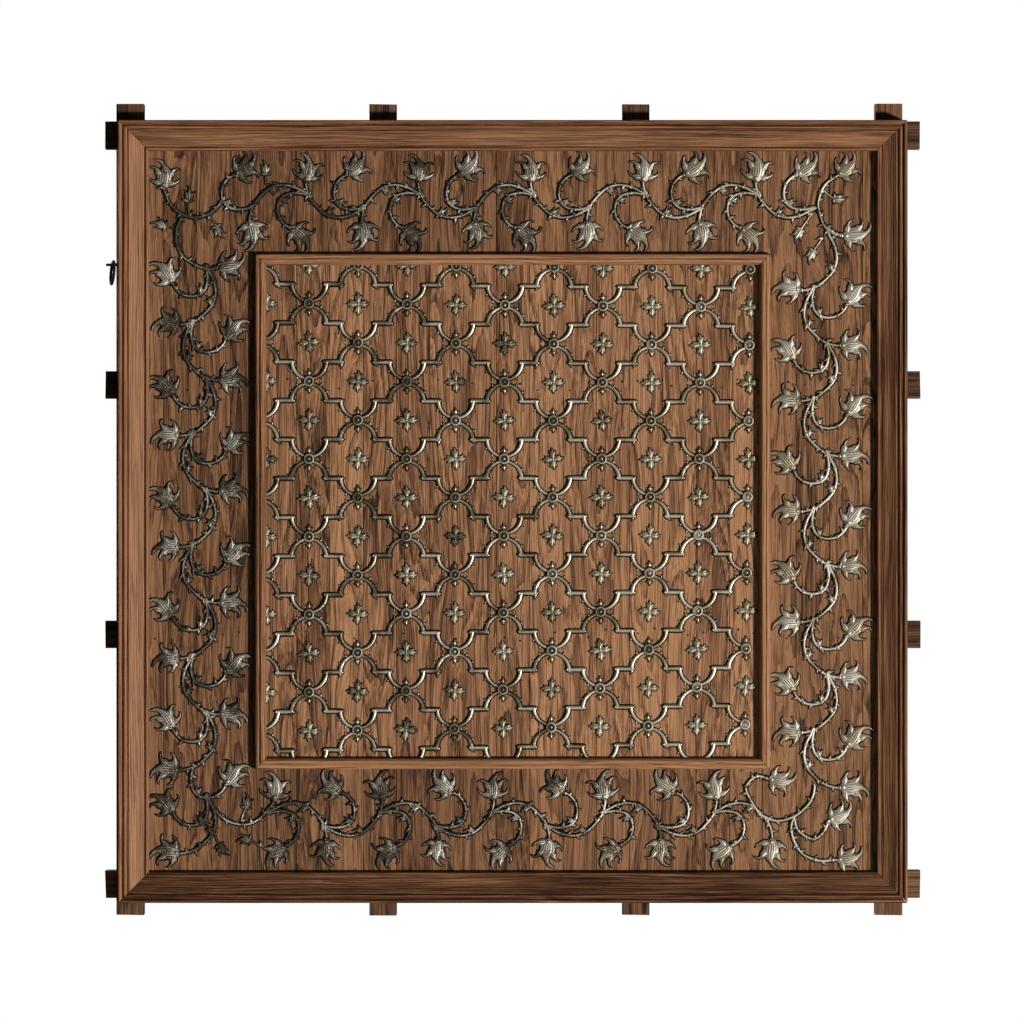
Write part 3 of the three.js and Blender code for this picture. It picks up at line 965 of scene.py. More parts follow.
@dataclass
class Foundry:
    """The patterns of the small castings and the node tree that sets them out along stems and seats."""

    place: Place
    leaf_length: float = 63.0
    rosette_reach: float = 22.5
    boss_radius: float = 10.4
    sharp: float = 50.0
    off_boards: float = 0.3
    no_thorns: float = 1e6
    patterns: dict[Shape, bpy.types.Object] = field(default_factory=dict)
    sections: list[bpy.types.Object] = field(default_factory=list)
    tree: bpy.types.NodeTree | None = None

    def leaf(self, hand: float) -> Solid:
        """A vine leaf of five lobes with a hooked tip.

        Args:
            hand: 1 for a tip that hooks to its left, -1 to its right.

        Returns:
            The leaf, its stalk at the origin.
        """
        size = self.leaf_length
        blade = {"flutes": Flutes.FINE, "teeth": 3, "base": 0.45, "claw_from": 0.66, "claw": 0.26}
        claws = {"flutes": Flutes.BOLD, "teeth": 2, "base": 0.85, "claw_from": 0.58, "claw": 0.34}
        lower = {"flutes": Flutes.BOLD, "teeth": 2, "base": 0.5, "claw_from": 0.62, "claw": 0.32}
        lobes = [Lobe(size, size * 0.52, 0, hand * 1.9, 6.8, (size * 0.02, 0), 20, **blade)]
        length, width = size * 0.5, size * 0.24
        for side in (1, -1):
            beside, below = (size * 0.34, side * size * 0.1), (size * 0.12, side * size * 0.05)
            lobes.append(Lobe(length, width, side * 0.66, side * 2.1, 6.0, beside, 13, **claws))
            lobes.append(Lobe(length, width, side * 1.42, side * -1.5, 5.0, below, 12, **lower))
        boss = turned([(5.0, 0), (4.8, 4.4), (3.4, 6.6), (1, 7.2)], 8)
        boss.points = [(x + size * 0.09, y, z) for x, y, z in boss.points]
        return together(*lobes, boss)

    def bud(self) -> Solid:
        """A slender bud of three lobes over two small scales.

        Returns:
            The bud.
        """
        lobes = [Lobe(28, 13, 0, 1.2, 5.4, rows=11, teeth=3)]
        for side in (1, -1):
            lobes.append(Lobe(18, 9, side * 0.42, side * 0.7, 4.4, (3, side), 8))
            lobes.append(Lobe(10, 5.5, side * 1.6, side * -0.8, 3.8, (2, side), 7, Flutes.PLAIN))
        return together(*lobes)

    def sprout(self) -> Solid:
        """A small hooked leaf with two side points."""
        return together(
            Lobe(18, 8, 0.1, 1.1, 4.8, rows=9),
            Lobe(10, 5.5, -0.8, -0.9, 4.0, (4, 0), 7, Flutes.PLAIN),
            Lobe(10, 5.5, 0.9, 0.9, 4.0, (4, 0), 7, Flutes.PLAIN),
        )

    def rosette(self) -> Solid:
        """Four ivy leaves of three points each, round a small button.

        Returns:
            The rosette.
        """
        size = self.rosette_reach
        lobes = []
        for quarter in range(4):
            aim = quarter * math.pi / 2
            lobes.append(Lobe(size, size * 0.54, aim, 0.4, 5.2, rows=8, base=0.36, claw_from=0.84, claw=0.4))
            start = (math.cos(aim) * size * 0.3, math.sin(aim) * size * 0.3)
            ear = {"rows": 6, "base": 0.7, "claw_from": 0.8, "claw": 0.45}
            for side in (1, -1):
                lobes.append(Lobe(size * 0.54, size * 0.38, aim + side * 0.62, side * 0.7, 4.6, start, **ear))
        return together(*lobes, turned([(3.4, 0), (3.2, 4.4), (2.2, 5.6), (0.6, 6.0)], 8))

    def fleur(self) -> Solid:
        """A little three-pointed finial.

        Returns:
            The finial.
        """
        lobes = [Lobe(12.5, 7.6, 0, 0, 5.0, rows=6, base=0.5, claw_from=0.85, claw=0.3)]
        for side in (1, -1):
            lobes.append(Lobe(8.5, 4.4, side * 1.0, side * 0.8, 4.6, (1.5, 0), 6, Flutes.PLAIN, claw=0.4))
        return together(*lobes)

    def boss(self) -> Solid:
        """A round boss with a raised rim and a button in its dish.

        Returns:
            The boss.
        """
        r = self.boss_radius
        rim = [(r + 1.3, 0), (r, 1.6), (r, 5.6), (r - 0.8, 7.6), (r - 2.9, 7.8), (r - 3.8, 5.3)]
        return turned([*rim, (3.0, 5.3), (2.2, 7.0), (0.8, 7.4)], 14)

    def collar(self) -> Solid:
        """Two rings side by side, half round, that clasp a stem."""
        half = [(4.2, 2.6), (6.3, 2.1), (6.6, 1.1)]
        return turned([*((radius, -x) for radius, x in half), (5.2, 0), *reversed(half)], 12, half=True)

    def thorn(self) -> Solid:
        """A short hooked point."""
        point = {"rows": 5, "flutes": Flutes.PLAIN, "base": 1.0, "claw_from": 0.6, "claw": 0.35}
        return Lobe(11.5, 6.5, 0, 0.9, 4.4, **point).solid()

    def make_patterns(self) -> None:
        """Makes one object of every shape, hidden from the render."""
        solids = {
            Shape.LEAF: self.leaf(1),
            Shape.LEAF_BACK: self.leaf(-1),
            Shape.BUD: self.bud(),
            Shape.SPROUT: self.sprout(),
            Shape.COLLAR: self.collar(),
            Shape.BOSS: self.boss(),
            Shape.FLEUR: self.fleur(),
            Shape.KNOB: turned([(4.9, 0), (3.7, 1.4), (3.0, 4.4), (1.6, 5.6), (0.4, 5.9)], 8),
            Shape.THORN: self.thorn(),
            Shape.ROSETTE: self.rosette(),
            Shape.NAIL: turned([(2.2, 0), (2.1, 0.35), (1.2, 0.6), (0.3, 0.65)], 8),
        }
        for shape, solid in solids.items():
            mesh = turned_outwards(solid.mesh(f"pattern_{shape.name.lower()}"))
            self.patterns[shape] = new_object(mesh.name, mesh)
            self.patterns[shape].hide_render = True

    def section(self, name: str, outline: tuple[Corner, ...]) -> bpy.types.Object:
        """A section as a closed ring of edges, hidden from the render.

        Args:
            name: the object's name.
            outline: across, height and relief of each corner.

        Returns:
            The object.
        """
        count = len(outline)
        points = [(x, -height, 0.0) for x, height, _ in outline]
        edges = [(i, (i + 1) % count) for i in range(count)]
        made = new_object(name, marked_mesh(name, points, edges, {"relief": [relief for _, _, relief in outline]}))
        made.hide_render = True
        self.sections.append(made)
        return made

    def clear(self) -> None:
        """Takes the patterns and the sections out of the scene."""
        for thing in (*self.patterns.values(), *self.sections):
            bpy.data.objects.remove(thing)

    def make_tree(self) -> None:
        """Builds the tree that sweeps a section along stems, sets thorns on them and shapes on seats."""
        inputs = {
            "Stems": "Geometry",
            "Section": "Object",
            "Seats": "Object",
            "Thorn spacing": "Float",
            "Seed": "Int",
            "Finish": "Material",
            **{shape.name: "Object" for shape in Shape},
        }
        wiring = Wiring.started("casting", "GeometryNodeTree", inputs, {"Casting": "Geometry"})
        given = wiring.given()
        parts = [self._swept(wiring, given), self._thorns(wiring, given)]
        seats = wiring.shape_of(given["Seats"])
        kind, turn, grow = wiring.named("kind", "INT"), wiring.about_z(wiring.named("turn")), wiring.named("grow")
        for shape in Shape:
            compared = {2: kind, 3: shape.value}
            chosen = wiring.node("FunctionNodeCompare", compared, data_type="INT", operation="EQUAL").outputs[0]
            parts.append(self._set_out(wiring, seats, given[shape.name], turn, grow, chosen))
        joined = wiring.node("GeometryNodeJoinGeometry")
        for part in parts:
            wiring.tree.links.new(part, joined.inputs[0])
        real = wiring.node("GeometryNodeRealizeInstances", {"Geometry": joined.outputs[0]}).outputs[0]
        smooth = wiring.node("GeometryNodeSetShadeSmooth", {"Geometry": real, "Shade Smooth": True}).outputs[0]
        dressed = wiring.node("GeometryNodeSetMaterial", {"Geometry": smooth, "Material": given["Finish"]})
        self.tree = wiring.output({0: dressed.outputs[0]})

    def _swept(self, wiring: Wiring, given: bpy.types.NodeOutputs) -> Socket:
        """Sweeps the section along the stems.

        Args:
            wiring: the tree to add to.
            given: the tree's inputs.

        Returns:
            The socket with the swept mesh.
        """
        curves = wiring.node("GeometryNodeMeshToCurve", {"Mesh": given["Stems"]}).outputs[0]
        upright = wiring.node("GeometryNodeSetCurveNormal", {"Curve": curves}, mode="Z_UP").outputs[0]
        ring = wiring.node("GeometryNodeMeshToCurve", {"Mesh": wiring.shape_of(given["Section"])}).outputs[0]
        sweep = {"Curve": upright, "Profile Curve": ring, "Scale": wiring.named("girth"), "Fill Caps": True}
        return wiring.node("GeometryNodeCurveToMesh", sweep).outputs[0]

    def _thorns(self, wiring: Wiring, given: bpy.types.NodeOutputs) -> Socket:
        """Sets thorns on both sides of the stems, evenly spaced.

        Args:
            wiring: the tree to add to.
            given: the tree's inputs.

        Returns:
            The socket with the thorns.
        """
        lean, sway, least, most = 1.05, 0.35, 0.75, 1.25
        curves = wiring.node("GeometryNodeMeshToCurve", {"Mesh": given["Stems"]}).outputs[0]
        stretch = {"Curve": curves, "Length": given["Thorn spacing"]}
        spots = wiring.node("GeometryNodeCurveToPoints", stretch, mode="LENGTH").outputs
        tangent = {"Vector": spots["Tangent"]}
        along = wiring.node("FunctionNodeAlignEulerToVector", tangent, axis="X", pivot_axis="Z").outputs[0]
        side = wiring.maths("MODULO", wiring.node("GeometryNodeInputIndex").outputs[0], 2.0)
        swaying = wiring.node("FunctionNodeRandomValue", {2: -sway, 3: sway, "Seed": given["Seed"]}).outputs[1]
        leaning = wiring.maths("MULTIPLY_ADD", side, 2 * lean, -lean)
        turn = wiring.about_z(wiring.maths("ADD", leaning, swaying))
        turns = {"Rotation": along, "Rotate By": turn}
        aimed = wiring.node("FunctionNodeRotateEuler", turns, space="LOCAL").outputs[0]
        size = wiring.node("FunctionNodeRandomValue", {2: least, 3: most, "Seed": given["Seed"]}).outputs[1]
        return self._set_out(wiring, spots["Points"], given[Shape.THORN.name], aimed, size)

    def _set_out(
        self, wiring: Wiring, spots: Socket, pattern: Socket, turn: Socket, grow: Socket, chosen: Socket | bool = True
    ) -> Socket:
        """Sets a pattern on spots.

        Args:
            wiring: the tree to add to.
            spots: the points.
            pattern: the pattern's object.
            turn: the turn of each.
            grow: the growth of each.
            chosen: which points get one.

        Returns:
            The socket with the instances.
        """
        inputs = {"Points": spots, "Selection": chosen, "Instance": wiring.shape_of(pattern)}
        return wiring.node("GeometryNodeInstanceOnPoints", inputs | {"Rotation": turn, "Scale": grow}).outputs[0]

    def cast(
        self,
        name: str,
        layout: Layout,
        finish: bpy.types.Material,
        section: bpy.types.Object | None = None,
        thorn_spacing: float = 0.0,
        seed: int = 0,
        clip: float = 0.0,
    ) -> bpy.types.Object:
        """Casts stems and seated shapes as one plain mesh on the boards.

        Args:
            name: the piece's name.
            layout: the stems and the seats.
            finish: the material.
            section: the section's object, needed only with stems.
            thorn_spacing: the distance between thorns, or 0 for none.
            seed: the seed of the thorns' sway.
            clip: half the opening that the casting is cut to, or 0.

        Returns:
            The finished mesh as an object, in the room.
        """
        host = new_object(name, layout.stem_mesh(name))
        spots = new_object(f"{name}_seats", layout.seat_mesh())
        modifier = host.modifiers.new("casting", "NODES")
        modifier.node_group = self.tree
        values = {
            "Section": section,
            "Seats": spots,
            "Thorn spacing": thorn_spacing or self.no_thorns,
            "Seed": seed,
            "Finish": finish,
            **{shape.name: pattern for shape, pattern in self.patterns.items()},
        }
        if not (thorn_spacing or any(seat.shape is Shape.THORN for seat in layout.seats)):
            values[Shape.THORN.name] = None
        for item in self.tree.interface.items_tree:
            if item.name in values:
                modifier[item.identifier] = values[item.name]
        evaluated = host.evaluated_get(bpy.context.evaluated_depsgraph_get())
        mesh = bpy.data.meshes.new_from_object(evaluated)
        host.modifiers.remove(modifier)
        mesh.name = name
        host.data = mesh
        bpy.data.objects.remove(spots)
        if clip:
            cut_to(mesh, clip)
        mesh.transform(Matrix.Translation((0, 0, self.place.board_face + self.off_boards)))
        mesh.transform(self.place.to_room)
        turned_outwards(mesh)
        mesh.set_sharp_from_angle(angle=math.radians(self.sharp))
        return host


def cut_to(mesh: bpy.types.Mesh, half: float) -> None:
    """Cuts away what lies outside a square opening, and closes the cuts.

    Args:
        mesh: the mesh, face on and in millimetres.
        half: half the opening.
    """
    work = bmesh.new()
    work.from_mesh(mesh)
    for normal in ((1, 0, 0), (-1, 0, 0), (0, 1, 0), (0, -1, 0)):
        at = [value * half for value in normal]
        everything = [*work.verts, *work.edges, *work.faces]
        done = bmesh.ops.bisect_plane(work, geom=everything, plane_co=at, plane_no=normal, clear_outer=True)
        rim = [e for e in done["geom_cut"] if isinstance(e, bmesh.types.BMEdge) and e.is_boundary]
        bmesh.ops.edgenet_fill(work, edges=rim)
    work.to_mesh(mesh)
    work.free()


# Woodwork


def wooden(solid: Solid, name: str, grain: list[Corner], rng: random.Random, sharp: float) -> bpy.types.Mesh:
    """A mesh that carries its own grain and tone.

    Args:
        solid: the shape.
        name: the mesh's name.
        grain: across, through and along for each point, in metres.
        rng: the source of this piece's own figure and tone.
        sharp: the angle in degrees from which an edge stays sharp.

    Returns:
        The mesh.
    """
    mesh = solid.mesh(name, sharp)
    shift = np.array([rng.uniform(-0.02, 0.02), rng.uniform(0.012, 0.05), rng.uniform(0, 40)])
    values = (np.array(grain) + shift).astype(np.float32)
    mesh.attributes.new("grain", "FLOAT_VECTOR", "POINT").data.foreach_set("vector", values.ravel())
    tone = rng.uniform(0.0, 1.0)
    mesh.attributes.new("tone", "FLOAT", "POINT").data.foreach_set("value", [tone] * len(mesh.vertices))
    return mesh


def put_up(mesh: bpy.types.Mesh, place: Place, finish: bpy.types.Material, slot: str, node: str) -> None:
    """Puts a wooden mesh drawn face on into the room, as the finished piece for a node.

    Args:
        mesh: the mesh.
        place: where the panel stands.
        finish: its material.
        slot: the record's material slot.
        node: the solid it stands for.
    """
    mesh.transform(place.to_room)
    mesh.materials.append(finish)
    finished(new_object(f"{node}_wood", turned_outwards(mesh)), "panel", slot, node)


def prism(section: list[Point], ends: list[Point]) -> tuple[Solid, list[Corner]]:
    """A length of wood of one section, lying along x.

    Args:
        section: y and z of each corner.
        ends: the start and the end along x for each corner.

    Returns:
        The solid and its grain coordinates.
    """
    made = Solid()
    made.points = [(pair[end], y, z) for end in (0, 1) for (y, z), pair in zip(section, ends)]
    made.grid(2, len(section))
    return made, [(y * MM, z * MM, x * MM) for x, y, z in made.points]


@dataclass
class Boards:
    """The upright boards behind everything."""

    place: Place
    thickness: float = 18.0
    lap: float = 0.5
    ease: float = 0.9
    unevenness: float = 0.25
    sharp: float = 20.0
    first_seed: int = 100

    def build(self, finish: bpy.types.Material) -> None:
        """Makes one piece for each board.

        Args:
            finish: the boards' material.
        """
        face = self.place.board_face
        back = face - self.thickness
        for index, name in enumerate(numbered("board_")):
            rng = random.Random(self.first_seed + index)
            (left, right), (bottom, top) = span(name, "x"), span(name, "z")
            half = (top - bottom) / 2
            tilt = rng.uniform(-self.unevenness, self.unevenness)
            reach = (right - left) / 2
            lap = reach + self.lap
            section = [
                (lap, back),
                (lap, back + self.thickness / 2),
                (reach, back + self.thickness / 2),
                (reach, face + tilt - self.ease),
                (reach - self.ease, face + tilt),
                (-reach + self.ease, face - tilt),
                (-reach, face - tilt - self.ease),
                (-reach, back),
            ]
            solid, grain = prism(section, [(-half, half)] * len(section))
            mesh = wooden(solid, name, grain, rng, self.sharp)
            mesh.transform(Matrix.Translation(((left + right) / 2, 0, 0)) @ Matrix.Rotation(math.pi / 2, 4, "Z"))
            put_up(mesh, self.place, finish, "board_wood", name)


@dataclass
class MouldedFrame:
    """Four mitred members of one moulding round a rectangle."""

    place: Place
    prefix: str
    section: list[Point]
    sharp_corners: int
    half_width: float
    half_height: float
    seed: int
    gap: float = 0.8
    sharp: float = 30.0

    def build(self, finish: bpy.types.Material) -> None:
        """Makes the four members.

        Args:
            finish: the members' material.
        """
        outline = softened(self.section, 2, self.sharp_corners)
        for index, side in enumerate(Side):
            upright = side in (Side.LEFT, Side.RIGHT)
            half, reach = (self.half_height, self.half_width) if upright else (self.half_width, self.half_height)
            section = [(reach - inward, height) for inward, height in outline]
            ends = [(-(half - inward - self.gap / 2), half - inward - self.gap / 2) for inward, _ in outline]
            solid, grain = prism(section, ends)
            name = f"{self.prefix}_{side.word}"
            mesh = wooden(solid, name, grain, random.Random(self.seed + index), self.sharp)
            mesh.transform(Matrix.Rotation(side.value, 4, "Z"))
            put_up(mesh, self.place, finish, "frame_wood", name)


def outer_section(place: Place) -> list[Point]:
    """The outer frame's moulding, from its outer edge in.

    Args:
        place: where the panel stands.

    Returns:
        Inward distance and height of each corner, the hidden corners first.
    """
    back, top = (-depth for depth in reversed(span("frame_top", "y")))
    seat = place.board_face + SEAT_GAP
    width = place.frame_width
    rim = 20.0
    bead = width - 8
    hidden = [(0, back), (rim, back), (rim, seat), (width, seat)]
    lip = [(width, -19), (width - 2.5, -15.6), (bead + 2.2, -15.8), (bead + 0.4, -20.5), (bead - 1.2, -20)]
    hollow = [(bead - 4, -17), (bead - 14, -15), (bead - 24, -9), (21, -4), (19, -8), (17.6, -8)]
    round_bead = [(16.4, -3), (14, -0.6), (11, -2), (9.6, -7)]
    edge = [(8.2, -7), (7, -1.4), (5, 0.4), (2, 0.2), (0, -2.4)]
    return hidden + [(inward, top + fall) for inward, fall in lip + hollow + round_bead + edge]


def inner_section(place: Place) -> list[Point]:
    """The inner frame's moulding, from its outer edge in.

    Args:
        place: where the panel stands.

    Returns:
        Inward distance and height of each corner, the hidden corners first.
    """
    top = -span("inner_frame_top", "y")[0]
    seat = place.board_face + SEAT_GAP
    width = place.inner_width
    lip = [(width, -12), (width - 1.4, -6), (width - 4.5, -1), (13.5, 0.6), (10.4, 0.2)]
    edge = [(9.4, -3.4), (8.4, -3.6), (7.6, -1.6), (4.4, -1.8), (1.2, -3.6), (0, -8)]
    return [(0, seat), (width, seat)] + [(inward, top + fall) for inward, fall in lip + edge]


@dataclass
class Battens:
    """The half-lapped grid of battens behind the boards."""

    place: Place
    clearance: float = 0.3
    lap_gap: float = 0.15
    wear: float = 2.5
    sharp: float = 20.0
    first_seed: int = 500

    def build(self, finish: bpy.types.Material) -> None:
        """Makes one piece for each batten, notched where it crosses the others.

        Args:
            finish: the battens' material.
        """
        crossing, upright = numbered("cross_batten_"), numbered("upright_batten_")
        level = self.place.centre_z / MM
        for index, name in enumerate(crossing + upright):
            lies_across = name in crossing
            along, beside = ("x", "z") if lies_across else ("z", "x")
            (start, end), (low, high) = span(name, along), span(name, beside)
            shift, middle = (0.0, (low + high) / 2 - level) if lies_across else (level, (low + high) / 2)
            notches = sorted(sum(span(other, along)) / 2 - shift for other in (upright if lies_across else crossing))
            depth = -span(name, "y")[0]
            rng = random.Random(self.first_seed + index)
            outline = self._outline(start - shift, end - shift, notches, (high - low) / 2, depth, lies_across)
            mesh = self._mesh(name, outline, (high - low) / 2, rng)
            if lies_across:
                mesh.transform(Matrix.Translation((0, middle, 0)))
            else:
                mesh.transform(Matrix.Translation((middle, 0, 0)) @ Matrix.Rotation(math.pi / 2, 4, "Z"))
            put_up(mesh, self.place, finish, "batten_wood", name)

    def _outline(
        self, start: float, end: float, notches: list[float], half: float, depth: float, from_back: bool
    ) -> list[Point]:
        """A batten's outline along x, like a comb.

        Args:
            start: where it starts.
            end: where it ends.
            notches: the middles of its notches.
            half: half its width.
            depth: its depth.
            from_back: whether the notches open at the back.

        Returns:
            Length and height of each corner, with the start's two corners first and the end's two last.
        """
        lap = depth / 2 + (self.lap_gap if from_back else -self.lap_gap)
        edge, other = (0.0, depth) if from_back else (depth, 0.0)
        reach = half + self.clearance
        outline = [(start, other), (start, edge)]
        for x in notches:
            outline += [(x - reach, edge), (x - reach, lap), (x + reach, lap), (x + reach, edge)]
        return [*outline, (end, edge), (end, other)]

    def _mesh(self, name: str, outline: list[Point], half: float, rng: random.Random) -> bpy.types.Mesh:
        """A batten with worn ends, from its outline.

        Args:
            name: the mesh's name.
            outline: its outline.
            half: half its width.
            rng: the source of its wear and its figure.

        Returns:
            The mesh.
        """
        solid = Solid()
        start, end = outline[0][0], outline[-1][0]
        for across in (-half, half):
            for x, z in outline:
                wear = rng.uniform(-self.wear, 0) if x in (start, end) else 0
                solid.points.append((x + (wear if x == end else -wear), across, z))
        grain = [(y * MM, z * MM, x * MM) for (x, z), y in zip(outline * 2, [p[1] for p in solid.points])]
        solid.grid(2, len(outline))
        return wooden(solid, name, grain, rng, self.sharp)


# Castings


@dataclass
class StrapLattice:
    """Ogee straps between bosses, in rows that were laid by hand and so spread unevenly."""

    place: Place
    foundry: Foundry
    columns: int = 10
    rows: int = 12
    arch: float = 33.0
    arch_steps: int = 8
    over_boss: float = 4.3
    fleur_offset: float = 12.0
    thorn_offset: float = 3.2
    thorn_shares: Point = (0.42, 0.72)
    knee: float = 2.5
    seed: int = 7
    top_left: Point = (-481.0, 471.0)
    top_right: Point = (452.0, 461.0)
    bottom_left: Point = (-480.0, -419.0)
    bottom_right: Point = (442.0, -405.0)
    strap_taper: Point = (0.7, 1.08)
    thorn_lean: float = 0.35
    thorn_size: float = 0.6
    # section relief: the top is worn brightest, and the corners on one side carry more relief than their mirrors, a
    # painted highlight down that side with painted shade on the other
    section: tuple[Corner, ...] = (
        (5.7, 0, 0.0), (4.5, 1.6, 0.0), (3.9, 3.6, 0.3), (2.9, 4.6, 0.85), (1.5, 5.2, 1.0), (0, 5.4, 0.8),
        (-1.5, 5.2, 0.75), (-2.9, 4.6, 0.5), (-3.9, 3.6, 0.15), (-4.5, 1.6, 0.0), (-5.7, 0, 0.0),
    )

    def crossing(self, column: float, row: float) -> np.ndarray:
        """Where a column and a row cross.

        Args:
            column: the column from the left.
            row: the row from the top.

        Returns:
            The point.
        """
        across, down = column / self.columns, row / self.rows
        top = np.array(self.top_left) * (1 - across) + np.array(self.top_right) * across
        bottom = np.array(self.bottom_left) * (1 - across) + np.array(self.bottom_right) * across
        return top * (1 - down) + bottom * down

    def build(self, strap: bpy.types.Material, brass: bpy.types.Material) -> None:
        """Makes the lattice and its rosettes.

        Args:
            strap: the finish of the lattice.
            brass: the finish of the rosettes.
        """
        section = self.foundry.section("strap_section", self.section)
        net, flowers = Layout(random.Random(self.seed)), Layout(random.Random(self.seed))
        for row in range(self.rows + 1):
            for column in range(self.columns + 1):
                x, y = self.crossing(column, row)
                if (column + row) % 2:
                    spot = (max(x, -self.place.field_half), y)
                    turn = flowers.rng.uniform(-0.12, 0.12)
                    flowers.seat(Shape.ROSETTE, spot, turn, flowers.rng.uniform(0.93, 1.04))
                    continue
                net.seat(Shape.BOSS, (x, y))
                for sign in (1, -1):
                    net.seat(Shape.FLEUR, (x, y + sign * self.fleur_offset), sign * math.pi / 2)
                for sign in (-1, 1):
                    if 0 <= column + sign <= self.columns:
                        self._strap(column, row, sign, net)
        clip = self.place.field_half - SEAT_GAP
        lattice = self.foundry.cast("strap_lattice_metal", net, strap, section, clip=clip)
        finished(lattice, "panel", "lattice_metal", "strap_lattice")
        finished(self.foundry.cast("rosettes_metal", flowers, brass, clip=clip), "panel", "lattice_metal")

    def _strap(self, column: int, row: int, sign: int, net: Layout) -> None:
        """Lays the strap from a boss to the next one below it, on one side.

        Args:
            column: the upper boss's column.
            row: the upper boss's row.
            sign: 1 to the right, -1 to the left.
            net: where the straps are gathered.
        """
        top = self.crossing(column, row) - (0, self.over_boss)
        bottom = self.crossing(column + sign, row + 1) + (0, self.over_boss)
        middle = (top[1] + bottom[1]) / 2
        knees = []
        for origin, out in ((top, sign), (bottom, -sign)):
            rise = middle - origin[1]
            upward = math.copysign(1, rise)
            arc = []
            for step in range(self.arch_steps + 1):
                angle = step / self.arch_steps * math.pi / 2
                arc.append((origin[0] + out * self.arch * math.sin(angle), origin[1] + rise * (1 - math.cos(angle))))
            net.stems.append(Stem(arc, *self.strap_taper))
            knees.append(arc[-1][0])
            for share in self.thorn_shares:
                angle = share * math.pi / 2
                sine, cosine = math.sin(angle), math.cos(angle)
                spot = (
                    origin[0] + out * (self.arch + self.thorn_offset) * sine,
                    origin[1] + rise * (1 - cosine) - upward * self.thorn_offset * cosine,
                )
                aim = math.atan2(-upward * cosine, out * sine)
                net.seat(Shape.THORN, spot, aim - self.thorn_lean * out * upward, self.thorn_size)
        out = sign * self.knee
        net.stems.append(Stem([(knees[0] - out, middle), (knees[1] + out, middle)]))
        for knee, push in zip(knees, (-out, out)):
            net.seat(Shape.KNOB, (knee + push * 1.4, middle))


@dataclass(frozen=True)
class Run:
    """One straight run of vine: where it starts, which way it grows and how its bends lie."""

    side: Side
    start: Point
    end: Point
    bulge: Point
    lead: float
    tail: float
    bends: int
    first_curl: bool = True
    last_main: bool = True


@dataclass(frozen=True)
class Joint:
    """Where a bend leaves the vine's centre line, which way the vine grows and which way the bend bulges."""

    at: np.ndarray
    growth: np.ndarray
    bulge: np.ndarray


@dataclass(frozen=True)
class Tendril:
    """A stem of its own at a corner, from the crossing of the vine's centre lines, with what it ends in."""

    corner: Point
    line: tuple[Point, ...]
    aim: Point = (0.0, 1.0)
    end: Shape | None = Shape.LEAF
    girth: float = 1.0

    @classmethod
    def bud(cls, corner: Point, line: tuple[Point, ...], aim: Point) -> "Tendril":
        """A thin stem that ends in a bud."""
        return cls(corner, line, aim, Shape.BUD, 0.6)


